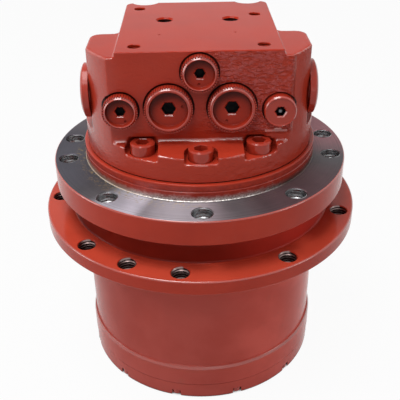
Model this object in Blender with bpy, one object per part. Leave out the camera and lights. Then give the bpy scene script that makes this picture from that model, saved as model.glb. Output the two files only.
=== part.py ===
"""Excavator final drive: an axial piston travel motor with a two-stage planetary gearbox.

The axis of rotation is Z and the drive stands on its end cover. The spindle housing, the
valve block and what they hold stay still. The hub with its ring gear and end cover turns
round them. All lengths are in metres.
"""

import math

import bmesh
import bpy
from mathutils import Matrix

# Clearances
SEAT_GAP = 0.0003
RUNNING_GAP = 0.0008
FLANGE_GAP = 0.0010

# Hub, from the end cover up to the collar under the frame flange
COVER_SETBACK = 0.0004
COVER_RIM_HEIGHT = 0.01255
COVER_WEB = 0.0090
COVER_SPIGOT_STEP = 0.00276
COVER_SPIGOT_WALL = 0.0050
COVER_SPIGOT_HEIGHT = 0.0030
COVER_SLOPE = 0.0040
BAND_STEP = 0.0017
BAND_HEIGHT = 0.01625
CASE_WALL = 0.0117
SPROCKET_FLANGE_THICKNESS = 0.0105
COLLAR_HEIGHT = 0.0195
COLLAR_WALL = 0.0045
EDGE_CHAMFER = 0.0008
CASE_FILLET = 0.0026

# Spindle housing
FRAME_FLANGE_THICKNESS = 0.0178
PILOT_EDGE = 0.0026
PILOT_HEIGHT = 0.0121
BEARING_SHOULDER_STEP = 0.0080
SPINDLE_THREAD_STEP = 0.0020
SEAL_SKIRT_DEPTH = 0.0143
SEAL_SKIRT_WALL = 0.0031

# Bolt holes
FRAME_HOLE_RADIUS = 0.0060
FRAME_BOLT_ROOM = 0.0126
FRAME_BOLT_EDGE = 0.0100
FRAME_HOLE_ANGLES = (0, 40, 80, 100, 120, 160, 200, 240, 260, 280, 320)
SPROCKET_HOLE_RADIUS = 0.0052
SPROCKET_BOLT_ROOM = 0.0106
SPROCKET_BOLT_EDGE = 0.0097
SPROCKET_HOLE_ANGLES = (-88, -48, -28, -8, 32, 72, 112, 152, 192, 232)
COVER_SCREW_COUNT = 10
COVER_SCREW_EDGE = 0.0046
COVER_SCREW_RADIUS = 0.0030
COVER_SCREW_HEAD_RADIUS = 0.0055
COVER_SCREW_HEAD_DEPTH = 0.0040
COVER_SCREW_DEPTH = 0.0120

# Valve block
GASKET_THICKNESS = 0.0006
BLOCK_BASE_HEIGHT = 0.0170
FRONT_SHOULDER_HEIGHT = 0.0200
FRONT_SHOULDER_SLOPE = 0.175
BLOCK_HEIGHT = 0.0768
BLOCK_FRONT_SETBACK = 0.0238
BLOCK_BACK_SETBACK = 0.0228
BLOCK_PLATE_SETBACK = 0.0283
BLOCK_PLATE_RISE = 0.0035
EAR_SETBACK = 0.0086
EAR_BACK = 0.0060
EAR_BACK_ROUND = 0.0070
PLATE_CORNER_ROUND = 0.0060
MOUNT_HOLE_RADIUS = 0.0037
MOUNT_HOLE_DEPTH = 0.0200
MOUNT_HOLES = ((-0.0400, -0.0450), (0.0400, -0.0450), (-0.0410, 0.0405), (0.0400, 0.0226))
PORT_RADIUS = 0.0051
PORT_DEPTH = 0.0480
PORT_HALF_SPACING = 0.0226
PORT_BACK = 0.0120

# Screws that hold the valve block to the spindle
BLOCK_SCREW_ROOM = 0.0150
BLOCK_SCREW_EDGE = 0.0083
BLOCK_SCREW_ANGLES = (0, 31.8, 112, 148.2, 180, 211.8, 248, 328.2)
BLOCK_SCREW_RADIUS = 0.0050
BLOCK_SCREW_HEAD_RADIUS = 0.0080
BLOCK_SCREW_HEAD_HEIGHT = 0.0100
BLOCK_SCREW_GRIP = 0.0260
BLOCK_SCREW_KEY = 0.0080
BLOCK_POCKET_RADIUS = 0.0104
BLOCK_POCKET_HEIGHT = 0.0094
FRONT_POCKET_RISE = 0.0006

# Plugs in the valve block's front face: name, x, height over the block's foot,
# head radius, thread radius, hexagon across flats, dish depth
PLUG_HEAD_HEIGHT = 0.0060
PLUG_THREAD_LENGTH = 0.0120
PLUG_SPOTFACE_DEPTH = 0.0012
PLUG_SPOTFACE_MARGIN = 0.0012
PLUGS = (
    ("check_plug_left", -0.0500, 0.0396, 0.0112, 0.0070, 0.0060, 0.0022),
    ("relief_plug_left", -0.0197, 0.0406, 0.0153, 0.0105, 0.0080, 0.0030),
    ("relief_plug_right", 0.0200, 0.0406, 0.0153, 0.0105, 0.0080, 0.0030),
    ("shuttle_plug", 0.0000, 0.0636, 0.0116, 0.0070, 0.0060, 0.0022),
    ("drain_plug_right", 0.0500, 0.0386, 0.0102, 0.0065, 0.0060, 0.0004),
)

# Counterbalance spool, across the block, and its end caps
SPOOL_RADIUS = 0.0085
SPOOL_SPRING_ROOM = 0.0062
SPOOL_LAND = 0.0130
SPOOL_GROOVE = 0.0170
SPOOL_WAIST_RADIUS = 0.0051
SPOOL_STROKE = 0.0040
SPOOL_BEHIND_FRONT = 0.0330
SPOOL_OVER_FOOT = 0.0408
SPOOL_BORE_CLEARANCE = 0.0003
SPOOL_CAP_RADIUS = 0.0180
SPOOL_CAP_HEIGHT = 0.0058
SPOOL_CAP_THREAD_RADIUS = 0.0130
SPOOL_CAP_THREAD_LENGTH = 0.0110
SPOOL_CAP_KEY = 0.0120

# Gears
MODULE = 0.00275
RING_TEETH = 51
FIRST_SUN_TEETH = 9
SECOND_SUN_TEETH = 15
PLANET_COUNT = 3
PRESSURE_ANGLE = math.radians(20)
ADDENDUM = 0.80
DEDENDUM = 1.06
TOOTH_THINNING = 0.00022
FIRST_STAGE_WIDTH = 0.0122
SECOND_STAGE_WIDTH = 0.0210
CARRIER_PLATE = 0.0054
STAGE_GAP = 0.0008
FIRST_PIN_RADIUS = 0.0080
SECOND_PIN_RADIUS = 0.0080
SECOND_PIN_SEAT = 0.0220
SECOND_SUN_STUB_RADIUS = 0.0140
SECOND_SUN_BORE_RADIUS = 0.0085
PLANET_PITCH_SHIFT = 9

# Main bearings between spindle and hub
RING_RELIEF = 0.0008
BEARING_STEP = 0.00196
BEARING_SECTION = 0.0150
BEARING_RING_WALL = 0.0040
BEARING_ROLLER_RADIUS = 0.0030
BEARING_WIDTH = 0.0160
BEARING_ROLLERS = 14
NUT_REACH = 0.0040
NUT_HEIGHT = 0.0090
NUT_SLOT_DEPTH = 0.0022
NUT_SLOTS = 6

# Floating seal
SEAL_RING_CLEARANCE = 0.0030
SEAL_RING_WALL = 0.0078
SEAL_FACE_LIP = 0.0030
SEAL_RING_HEIGHT = 0.0094
SEAL_FACE_HEIGHT = 0.0022
SEAL_SETBACK = 0.0026
SEAL_CORD_ROOM = 0.0070
SEAL_CORD_RADIUS = 0.0030

# Motor
SHAFT_RADIUS = 0.0125
SHAFT_JOURNAL_STEP = 0.0025
SHAFT_SHOULDER_STEP = 0.0022
SHAFT_SHOULDER_LENGTH = 0.0040
SHAFT_BEARING_SECTION = 0.0110
SHAFT_BEARING_RING_WALL = 0.0030
SHAFT_ROLLER_RADIUS = 0.0024
SHAFT_BEARING_DEPTH = 0.0160
SHAFT_BEARING_WIDTH = 0.0160
SHAFT_BEARING_ROLLERS = 12
SHAFT_TAIL = 0.0130
STEM_RADIUS = 0.0070
STEM_SOCKET_DEPTH = 0.0080
MOTOR_CHAMBER_WALL = 0.0160
BRAKE_CHAMBER_WALL = 0.0115
SWASH_ANGLE = math.radians(8)
SWASH_CLEARANCE = 0.0030
SWASH_HEIGHT = 0.01785
SWASH_BORE_ROOM = 0.0018
SWASH_BLANK_RISE = 0.0100
BARREL_CLEARANCE = 0.0110
BARREL_LENGTH = 0.0480
PISTON_COUNT = 7
PISTON_BARREL_WALL = 0.0050
PISTON_RADIUS = 0.0060
PISTON_BORE_CLEARANCE = 0.0003
PISTON_LENGTH = 0.0360
PISTON_OUT = 0.0130
SHOE_RADIUS = 0.0086
SHOE_HEIGHT = 0.0042
RETAINER_THICKNESS = 0.0014
RETAINER_CLEARANCE = 0.0010
RETAINER_HOLE_RADIUS = 0.0056
VALVE_PLATE_THICKNESS = 0.0052
VALVE_PLATE_SETBACK = 0.0010

# Parking brake
DISC_THICKNESS = 0.0030
DISC_DEPTH = 0.0080
DISC_CLEARANCE = 0.0035
DISC_LUGS = 6
DISC_LUG_HEIGHT = 0.0033
DISC_LUG_CLEARANCE = 0.0006
BRAKE_PISTON_CLEARANCE = 0.0045
BRAKE_PISTON_STEP = 0.0035
BRAKE_PISTON_SKIRT = 0.0080
BRAKE_PISTON_TRAVEL = 0.0015
SPRING_THICKNESS = 0.0020
SPRING_PACKED_HEIGHT = 0.0123
SPRING_OUTER_CLEARANCE = 0.0015
SPRING_INNER_SETBACK = 0.0030

# Facets
ROUND_FACETS = 32
INNER_FACETS = 20
CAP_FACETS = 14
SMALL_FACETS = 10
HOLE_FACETS = 8
THREAD_FACETS = 6
FLANK_POINTS = 2

# Colours: red, green, blue, roughness, metallic
RED_PAINT = (0.46, 0.045, 0.028, 0.34, 0.0)
TURNED_STEEL = (0.42, 0.42, 0.43, 0.30, 1.0)
GROUND_STEEL = (0.56, 0.57, 0.58, 0.22, 1.0)
CAST_IRON = (0.20, 0.20, 0.21, 0.55, 0.8)
BRONZE = (0.55, 0.36, 0.16, 0.35, 1.0)
RUBBER = (0.02, 0.02, 0.02, 0.75, 0.0)
GASKET_FIBRE = (0.06, 0.05, 0.05, 0.8, 0.0)
FRICTION_LINING = (0.11, 0.10, 0.09, 0.85, 0.0)

# Radii that follow from the sizes above, from the ring gear outwards
RING_TIP_RADIUS = MODULE * (RING_TEETH / 2 - ADDENDUM)
RING_ROOT_RADIUS = MODULE * (RING_TEETH / 2 + DEDENDUM)
BEARING_OUTER_RADIUS = RING_ROOT_RADIUS + BEARING_STEP
BEARING_BORE_RADIUS = BEARING_OUTER_RADIUS - BEARING_SECTION
SPINDLE_BODY_RADIUS = BEARING_BORE_RADIUS + BEARING_SHOULDER_STEP
SPINDLE_THREAD_RADIUS = BEARING_BORE_RADIUS - SPINDLE_THREAD_STEP
NUT_RADIUS = BEARING_BORE_RADIUS + NUT_REACH
SEAL_RING_INNER_RADIUS = SPINDLE_BODY_RADIUS + SEAL_RING_CLEARANCE
SEAL_RING_BODY_RADIUS = SEAL_RING_INNER_RADIUS + SEAL_RING_WALL
SEAL_RING_FACE_RADIUS = SEAL_RING_BODY_RADIUS + SEAL_FACE_LIP
SEAL_SEAT_RADIUS = SEAL_RING_BODY_RADIUS + SEAL_CORD_ROOM
SKIRT_OUTER_RADIUS = SEAL_SEAT_RADIUS + SEAL_SKIRT_WALL
COLLAR_INNER_RADIUS = SKIRT_OUTER_RADIUS + FLANGE_GAP
COLLAR_RADIUS = COLLAR_INNER_RADIUS + COLLAR_WALL
SPROCKET_BOLT_CIRCLE = COLLAR_RADIUS + SPROCKET_BOLT_ROOM
SPROCKET_FLANGE_RADIUS = SPROCKET_BOLT_CIRCLE + SPROCKET_BOLT_EDGE
CASE_RADIUS = BEARING_OUTER_RADIUS + SEAT_GAP + CASE_WALL
BAND_RADIUS = CASE_RADIUS + BAND_STEP
COVER_RADIUS = BAND_RADIUS - COVER_SETBACK
COVER_SPIGOT_RADIUS = RING_ROOT_RADIUS + COVER_SPIGOT_STEP
COVER_SCREW_CIRCLE = COVER_RADIUS - COVER_SCREW_EDGE
MOTOR_CHAMBER_RADIUS = BEARING_BORE_RADIUS - MOTOR_CHAMBER_WALL
BRAKE_CHAMBER_RADIUS = SPINDLE_BODY_RADIUS - BRAKE_CHAMBER_WALL
BLOCK_SCREW_CIRCLE = BRAKE_CHAMBER_RADIUS + BLOCK_SCREW_ROOM
BLOCK_BASE_RADIUS = BLOCK_SCREW_CIRCLE + BLOCK_SCREW_EDGE
PILOT_RADIUS = BLOCK_BASE_RADIUS + PILOT_EDGE
FRAME_BOLT_CIRCLE = PILOT_RADIUS + FRAME_BOLT_ROOM
FRAME_FLANGE_RADIUS = FRAME_BOLT_CIRCLE + FRAME_BOLT_EDGE
BLOCK_FRONT = BLOCK_BASE_RADIUS - BLOCK_FRONT_SETBACK
BLOCK_BACK = BLOCK_BASE_RADIUS - BLOCK_BACK_SETBACK
BLOCK_PLATE_HALF_WIDTH = BLOCK_BASE_RADIUS - BLOCK_PLATE_SETBACK
EAR_HALF_WIDTH = BLOCK_BASE_RADIUS - EAR_SETBACK
SPOOL_ROOM = SPOOL_STROKE + SPOOL_SPRING_ROOM
SPOOL_HALF_LENGTH = EAR_HALF_WIDTH - SPOOL_CAP_THREAD_LENGTH - SPOOL_ROOM
SHAFT_JOURNAL_RADIUS = SHAFT_RADIUS + SHAFT_JOURNAL_STEP
SHAFT_SHOULDER_RADIUS = SHAFT_JOURNAL_RADIUS + SHAFT_SHOULDER_STEP
SHAFT_BEARING_RADIUS = SHAFT_JOURNAL_RADIUS + SHAFT_BEARING_SECTION
SWASH_RADIUS = MOTOR_CHAMBER_RADIUS - SWASH_CLEARANCE
SWASH_BORE_RADIUS = SHAFT_SHOULDER_RADIUS + SWASH_BORE_ROOM
BARREL_RADIUS = MOTOR_CHAMBER_RADIUS - BARREL_CLEARANCE
PISTON_CIRCLE = BARREL_RADIUS - PISTON_BARREL_WALL - PISTON_RADIUS
VALVE_PLATE_RADIUS = BARREL_RADIUS - VALVE_PLATE_SETBACK
DISC_OUTER_RADIUS = BRAKE_CHAMBER_RADIUS - DISC_CLEARANCE
BRAKE_PISTON_INNER_RADIUS = BARREL_RADIUS + BRAKE_PISTON_CLEARANCE

# Tooth counts and centres that follow
FIRST_PLANET_TEETH = (RING_TEETH - FIRST_SUN_TEETH) // 2
SECOND_PLANET_TEETH = (RING_TEETH - SECOND_SUN_TEETH) // 2
FIRST_CENTRES = MODULE * (FIRST_SUN_TEETH + FIRST_PLANET_TEETH) / 2
SECOND_CENTRES = MODULE * (SECOND_SUN_TEETH + SECOND_PLANET_TEETH) / 2

# Heights that follow, from the end cover up through the gears and the motor to the block
CASE_BOTTOM = COVER_RIM_HEIGHT + SEAT_GAP
BAND_TOP = CASE_BOTTOM + BAND_HEIGHT
SPIGOT_TOP = CASE_BOTTOM + COVER_SPIGOT_HEIGHT
TEETH_BOTTOM = SPIGOT_TOP + SEAT_GAP
FIRST_STAGE_BOTTOM = TEETH_BOTTOM + STAGE_GAP
FIRST_STAGE_TOP = FIRST_STAGE_BOTTOM + FIRST_STAGE_WIDTH
CARRIER_BOTTOM = FIRST_STAGE_TOP + STAGE_GAP
CARRIER_TOP = CARRIER_BOTTOM + CARRIER_PLATE
SECOND_STAGE_BOTTOM = CARRIER_TOP + STAGE_GAP
SECOND_STAGE_TOP = SECOND_STAGE_BOTTOM + SECOND_STAGE_WIDTH
SPINDLE_END = SECOND_STAGE_TOP + STAGE_GAP
TEETH_TOP = SPINDLE_END + STAGE_GAP
NUT_TOP = SPINDLE_END + STAGE_GAP + NUT_HEIGHT
LOWER_BEARING = NUT_TOP + SEAT_GAP
UPPER_BEARING = LOWER_BEARING + BEARING_WIDTH + SEAT_GAP
BEARING_SHOULDER = UPPER_BEARING + BEARING_WIDTH + SEAT_GAP
SHAFT_BEARING_BOTTOM = SPINDLE_END + SHAFT_BEARING_DEPTH
CHAMBER_FLOOR = SHAFT_BEARING_BOTTOM + SHAFT_BEARING_WIDTH + SEAT_GAP
SWASH_BOTTOM = CHAMBER_FLOOR + SEAT_GAP
SHOE_SOLE = SWASH_BOTTOM + SWASH_HEIGHT
BARREL_BOTTOM = SHOE_SOLE + SHOE_HEIGHT + PISTON_OUT
BARREL_TOP = BARREL_BOTTOM + BARREL_LENGTH
VALVE_PLATE_TOP = BARREL_TOP + SEAT_GAP + VALVE_PLATE_THICKNESS
BLOCK_FOOT = VALVE_PLATE_TOP + SEAT_GAP
SHAFT_TOP = BLOCK_FOOT + SHAFT_TAIL

# The flanges hang from the joint face under the block
PILOT_TOP = BLOCK_FOOT - GASKET_THICKNESS - 2 * SEAT_GAP
FRAME_FLANGE_TOP = PILOT_TOP - PILOT_HEIGHT
FRAME_FLANGE_BOTTOM = FRAME_FLANGE_TOP - FRAME_FLANGE_THICKNESS
COLLAR_TOP = FRAME_FLANGE_BOTTOM - FLANGE_GAP
SPROCKET_FLANGE_TOP = COLLAR_TOP - COLLAR_HEIGHT
SPROCKET_FLANGE_BOTTOM = SPROCKET_FLANGE_TOP - SPROCKET_FLANGE_THICKNESS
SKIRT_BOTTOM = FRAME_FLANGE_BOTTOM - SEAL_SKIRT_DEPTH
SEAL_MEETING = SKIRT_BOTTOM - SEAL_SETBACK
DISC_BOTTOM = FRAME_FLANGE_BOTTOM - DISC_DEPTH
BRAKE_PISTON_BOTTOM = DISC_BOTTOM + DISC_THICKNESS + SEAT_GAP
BRAKE_PISTON_TOP = BLOCK_FOOT - SPRING_PACKED_HEIGHT - BRAKE_PISTON_TRAVEL

# The block's own heights
BLOCK_SHOULDER = BLOCK_FOOT + BLOCK_BASE_HEIGHT
BLOCK_TOP = BLOCK_FOOT + BLOCK_HEIGHT
EAR_TOP = BLOCK_TOP - BLOCK_PLATE_RISE
POCKET_FLOOR = BLOCK_FOOT + BLOCK_POCKET_HEIGHT
FRONT_POCKET_TOP = BLOCK_FOOT + FRONT_SHOULDER_HEIGHT + FRONT_POCKET_RISE
SPOOL_AXIS_HEIGHT = BLOCK_FOOT + SPOOL_OVER_FOOT
SPOOL_AXIS_BACK = SPOOL_BEHIND_FRONT - BLOCK_FRONT


def clear_scene():
    for old in list(bpy.data.objects):
        bpy.data.objects.remove(old, do_unlink=True)


def material_for(name, finish):
    red, green, blue, roughness, metallic = finish
    material = bpy.data.materials.new(name)
    material.use_nodes = True
    shader = material.node_tree.nodes["Principled BSDF"]
    shader.inputs["Base Color"].default_value = (red, green, blue, 1)
    shader.inputs["Roughness"].default_value = roughness
    shader.inputs["Metallic"].default_value = metallic
    return material


def place(name, mesh, finish, location=(0, 0, 0), turn=0.0, parent=None):
    """An object of this mesh in its own material, turned about Z and shaded smooth."""
    mesh.shade_smooth()
    mesh.set_sharp_from_angle(angle=math.radians(32))
    piece = bpy.data.objects.new(name, mesh)
    piece.location = location
    piece.rotation_euler = (0, 0, turn)
    if not mesh.materials:
        mesh.materials.append(None)
    piece.material_slots[0].link = "OBJECT"
    piece.material_slots[0].material = material_for(name, finish)
    piece.parent = parent
    bpy.context.scene.collection.objects.link(piece)
    return piece


def hidden(name, mesh):
    """A helper solid for a Boolean, left out of renders."""
    helper = bpy.data.objects.new(name, mesh)
    helper.hide_render = True
    helper.display_type = "WIRE"
    bpy.context.scene.collection.objects.link(helper)
    return helper


def boolean(piece, operation, helper):
    modifier = piece.modifiers.new(operation.lower(), "BOOLEAN")
    modifier.operation = operation
    modifier.solver = "EXACT"
    modifier.object = helper


def baked(piece):
    """The mesh of a piece with its modifiers applied, for copies that share it."""
    bpy.context.view_layer.update()
    graph = bpy.context.evaluated_depsgraph_get()
    mesh = bpy.data.meshes.new_from_object(piece.evaluated_get(graph))
    for modifier in list(piece.modifiers):
        bpy.data.objects.remove(modifier.object, do_unlink=True)
    bpy.data.objects.remove(piece, do_unlink=True)
    return mesh


def mesh_from(name, shape):
    bmesh.ops.recalc_face_normals(shape, faces=shape.faces)
    mesh = bpy.data.meshes.new(name)
    shape.to_mesh(mesh)
    shape.free()
    return mesh


def add_turned(shape, profile, facets):
    """A closed outline of (radius, height) points, spun about Z."""
    corners = [shape.verts.new((radius, 0, height)) for radius, height in profile]
    edges = [shape.edges.new((a, b)) for a, b in zip(corners, corners[1:] + corners[:1])]
    bmesh.ops.spin(
        shape,
        geom=corners + edges,
        cent=(0, 0, 0),
        axis=(0, 0, 1),
        angle=2 * math.pi,
        steps=facets,
        use_merge=True,
    )
    bmesh.ops.remove_doubles(shape, verts=shape.verts, dist=1e-6)


def turned(name, profile, facets=ROUND_FACETS):
    shape = bmesh.new()
    add_turned(shape, profile, facets)
    return mesh_from(name, shape)


def ring_profile(inner, outer, bottom, top, chamfer=0.0):
    if not chamfer:
        return [(outer, top), (outer, bottom), (inner, bottom), (inner, top)]
    return [
        (outer - chamfer, top),
        (outer, top - chamfer),
        (outer, bottom + chamfer),
        (outer - chamfer, bottom),
        (inner, bottom),
        (inner, top),
    ]


def add_prism(shape, outlines, bottom, top):
    """Outlines in plan, the later ones holes in the first, filled and raised."""
    edges = []
    for outline in outlines:
        corners = [shape.verts.new((x, y, bottom)) for x, y in outline]
        edges += [shape.edges.new((a, b)) for a, b in zip(corners, corners[1:] + corners[:1])]
    filled = bmesh.ops.triangle_fill(shape, edges=edges, use_beauty=True, normal=(0, 0, 1))
    faces = [item for item in filled["geom"] if isinstance(item, bmesh.types.BMFace)]
    raised = bmesh.ops.extrude_face_region(shape, geom=faces, use_keep_orig=True)
    moved = [item for item in raised["geom"] if isinstance(item, bmesh.types.BMVert)]
    bmesh.ops.translate(shape, verts=moved, vec=(0, 0, top - bottom))


def prism(name, outlines, bottom, top):
    shape = bmesh.new()
    add_prism(shape, outlines, bottom, top)
    return mesh_from(name, shape)


def circle(radius, facets, centre=(0.0, 0.0), start=0.0):
    return [
        (
            centre[0] + radius * math.cos(start + 2 * math.pi * i / facets),
            centre[1] + radius * math.sin(start + 2 * math.pi * i / facets),
        )
        for i in range(facets)
    ]


def hexagon(across_flats, centre=(0.0, 0.0)):
    return circle(across_flats / math.sqrt(3), 6, centre)


def arc(centre, radius, start, end, steps):
    """Points from one angle to the other, in degrees, both ends included."""
    angles = [math.radians(start + (end - start) * i / steps) for i in range(steps + 1)]
    return [(centre[0] + radius * math.cos(a), centre[1] + radius * math.sin(a)) for a in angles]


def at_angle(radius, degrees):
    """A point in plan, its angle counted from the front towards +X."""
    angle = math.radians(degrees - 90)
    return radius * math.cos(angle), radius * math.sin(angle)


def drills(name, holes):
    """One helper of upright cylinders: (x, y, radius, bottom, top, facets) each."""
    shape = bmesh.new()
    for x, y, radius, bottom, top, facets in holes:
        add_prism(shape, [circle(radius, facets, (x, y))], bottom, top)
    return hidden(name, mesh_from(name, shape))


def laid_along(mesh, direction, origin):
    """Turns a mesh made along Z so that its Z runs along the given axis."""
    turn = {
        "-Y": Matrix.Rotation(math.radians(90), 4, "X"),
        "+X": Matrix.Rotation(math.radians(90), 4, "Y"),
        "-X": Matrix.Rotation(math.radians(-90), 4, "Y"),
    }[direction]
    mesh.transform(Matrix.Translation(origin) @ turn)
    return mesh


def involute(angle):
    return math.tan(angle) - angle


def gear_outline(teeth, tip_radius, root_radius, thinning, first_tooth=0.0):
    """Outline of a spur gear whose flanks follow involutes, through FLANK_POINTS points."""
    pitch_radius = MODULE * teeth / 2
    base_radius = pitch_radius * math.cos(PRESSURE_ANGLE)
    half_pitch_tooth = (math.pi * MODULE / 4 - thinning / 2) / pitch_radius

    def half_tooth(radius):
        pressure = math.acos(min(1.0, base_radius / max(radius, base_radius)))
        return half_pitch_tooth + involute(PRESSURE_ANGLE) - involute(pressure)

    steps = FLANK_POINTS - 1
    radii = [root_radius + (tip_radius - root_radius) * i / steps for i in range(FLANK_POINTS)]
    points = []
    for tooth in range(teeth):
        middle = first_tooth + 2 * math.pi * tooth / teeth
        rising = [(radius, middle - half_tooth(radius)) for radius in radii]
        falling = [(radius, middle + half_tooth(radius)) for radius in reversed(radii)]
        points += [(r * math.cos(a), r * math.sin(a)) for r, a in rising + falling]
    return points


def planet_angle(index, shift=0):
    """Where a planet stands, in radians from +X, always on a tooth space of the ring."""
    return math.radians(90) + 2 * math.pi * (index / PLANET_COUNT + shift / RING_TEETH)


def external_gear(teeth, first_tooth=0.0):
    pitch_radius = MODULE * teeth / 2
    tip = pitch_radius + ADDENDUM * MODULE
    root = pitch_radius - DEDENDUM * MODULE
    return gear_outline(teeth, tip, root, TOOTH_THINNING, first_tooth)


def hub_case():
    bearing_bore = BEARING_OUTER_RADIUS + SEAT_GAP
    relief = RING_ROOT_RADIUS + RING_RELIEF
    seal_floor = SEAL_MEETING - SEAT_GAP - SEAL_RING_HEIGHT - SEAT_GAP
    seal_top = SEAL_MEETING + SEAT_GAP
    profile = [
        (COLLAR_RADIUS, COLLAR_TOP),
        (COLLAR_RADIUS, SPROCKET_FLANGE_TOP),
        (SPROCKET_FLANGE_RADIUS - EDGE_CHAMFER, SPROCKET_FLANGE_TOP),
        (SPROCKET_FLANGE_RADIUS, SPROCKET_FLANGE_TOP - EDGE_CHAMFER),
        (SPROCKET_FLANGE_RADIUS, SPROCKET_FLANGE_BOTTOM + EDGE_CHAMFER),
        (SPROCKET_FLANGE_RADIUS - EDGE_CHAMFER, SPROCKET_FLANGE_BOTTOM),
        (CASE_RADIUS + CASE_FILLET, SPROCKET_FLANGE_BOTTOM),
        (CASE_RADIUS, SPROCKET_FLANGE_BOTTOM - CASE_FILLET),
        (CASE_RADIUS, BAND_TOP + EDGE_CHAMFER),
        (BAND_RADIUS, BAND_TOP - EDGE_CHAMFER),
        (BAND_RADIUS, CASE_BOTTOM),
        (COVER_SPIGOT_RADIUS + SEAT_GAP, CASE_BOTTOM),
        (COVER_SPIGOT_RADIUS + SEAT_GAP, TEETH_BOTTOM),
        (RING_TIP_RADIUS, TEETH_BOTTOM),
        (RING_TIP_RADIUS, TEETH_TOP),
        (relief, TEETH_TOP),
        (relief, LOWER_BEARING - SEAT_GAP),
        (bearing_bore, LOWER_BEARING - SEAT_GAP),
        (bearing_bore, seal_floor),
        (SEAL_SEAT_RADIUS, seal_floor),
        (SEAL_SEAT_RADIUS, seal_top),
        (COLLAR_INNER_RADIUS, seal_top),
        (COLLAR_INNER_RADIUS, COLLAR_TOP),
    ]
    case = place("hub_case", turned("hub_case", profile), RED_PAINT)

    spaces = gear_outline(
        RING_TEETH, RING_ROOT_RADIUS, RING_TIP_RADIUS - 0.0004, -TOOTH_THINNING, planet_angle(0)
    )
    broach = prism("ring_tooth_spaces", [spaces], TEETH_BOTTOM - 0.0010, TEETH_TOP + 0.0010)
    boolean(case, "DIFFERENCE", hidden("ring_tooth_spaces", broach))

    holes = []
    for degrees in SPROCKET_HOLE_ANGLES:
        x, y = at_angle(SPROCKET_BOLT_CIRCLE, degrees)
        low, high = SPROCKET_FLANGE_BOTTOM - 0.002, SPROCKET_FLANGE_TOP + 0.002
        holes.append((x, y, SPROCKET_HOLE_RADIUS, low, high, HOLE_FACETS))
    for number in range(COVER_SCREW_COUNT):
        x, y = at_angle(COVER_SCREW_CIRCLE, (number + 0.5) * 360 / COVER_SCREW_COUNT)
        high = CASE_BOTTOM + COVER_SCREW_DEPTH
        holes.append((x, y, COVER_SCREW_RADIUS, CASE_BOTTOM - 0.002, high, THREAD_FACETS))
    boolean(case, "DIFFERENCE", drills("hub_hole_drills", holes))


def end_cover():
    spigot_inner = COVER_SPIGOT_RADIUS - COVER_SPIGOT_WALL
    profile = [
        (COVER_SPIGOT_RADIUS, SPIGOT_TOP),
        (COVER_SPIGOT_RADIUS, COVER_RIM_HEIGHT),
        (COVER_RADIUS, COVER_RIM_HEIGHT),
        (COVER_RADIUS, EDGE_CHAMFER),
        (COVER_RADIUS - EDGE_CHAMFER, 0),
        (0, 0),
        (0, COVER_WEB),
        (spigot_inner - COVER_SLOPE, COVER_WEB),
        (spigot_inner, SPIGOT_TOP),
    ]
    cover = place("end_cover", turned("end_cover", profile), RED_PAINT)
    heads = []
    shanks = []
    for number in range(COVER_SCREW_COUNT):
        x, y = at_angle(COVER_SCREW_CIRCLE, (number + 0.5) * 360 / COVER_SCREW_COUNT)
        head = COVER_SCREW_HEAD_RADIUS
        heads.append((x, y, head, -0.002, COVER_SCREW_HEAD_DEPTH, HOLE_FACETS))
        low, high = COVER_SCREW_HEAD_DEPTH - 0.001, COVER_RIM_HEIGHT + 0.002
        shanks.append((x, y, COVER_SCREW_RADIUS, low, high, THREAD_FACETS))
    boolean(cover, "DIFFERENCE", drills("cover_head_drills", heads))
    boolean(cover, "DIFFERENCE", drills("cover_shank_drills", shanks))
    button = ring_profile(0, 0.0100, COVER_WEB + SEAT_GAP, FIRST_STAGE_BOTTOM - RUNNING_GAP, 0.001)
    place("thrust_button", turned("thrust_button", button, INNER_FACETS // 2), BRONZE)


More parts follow.
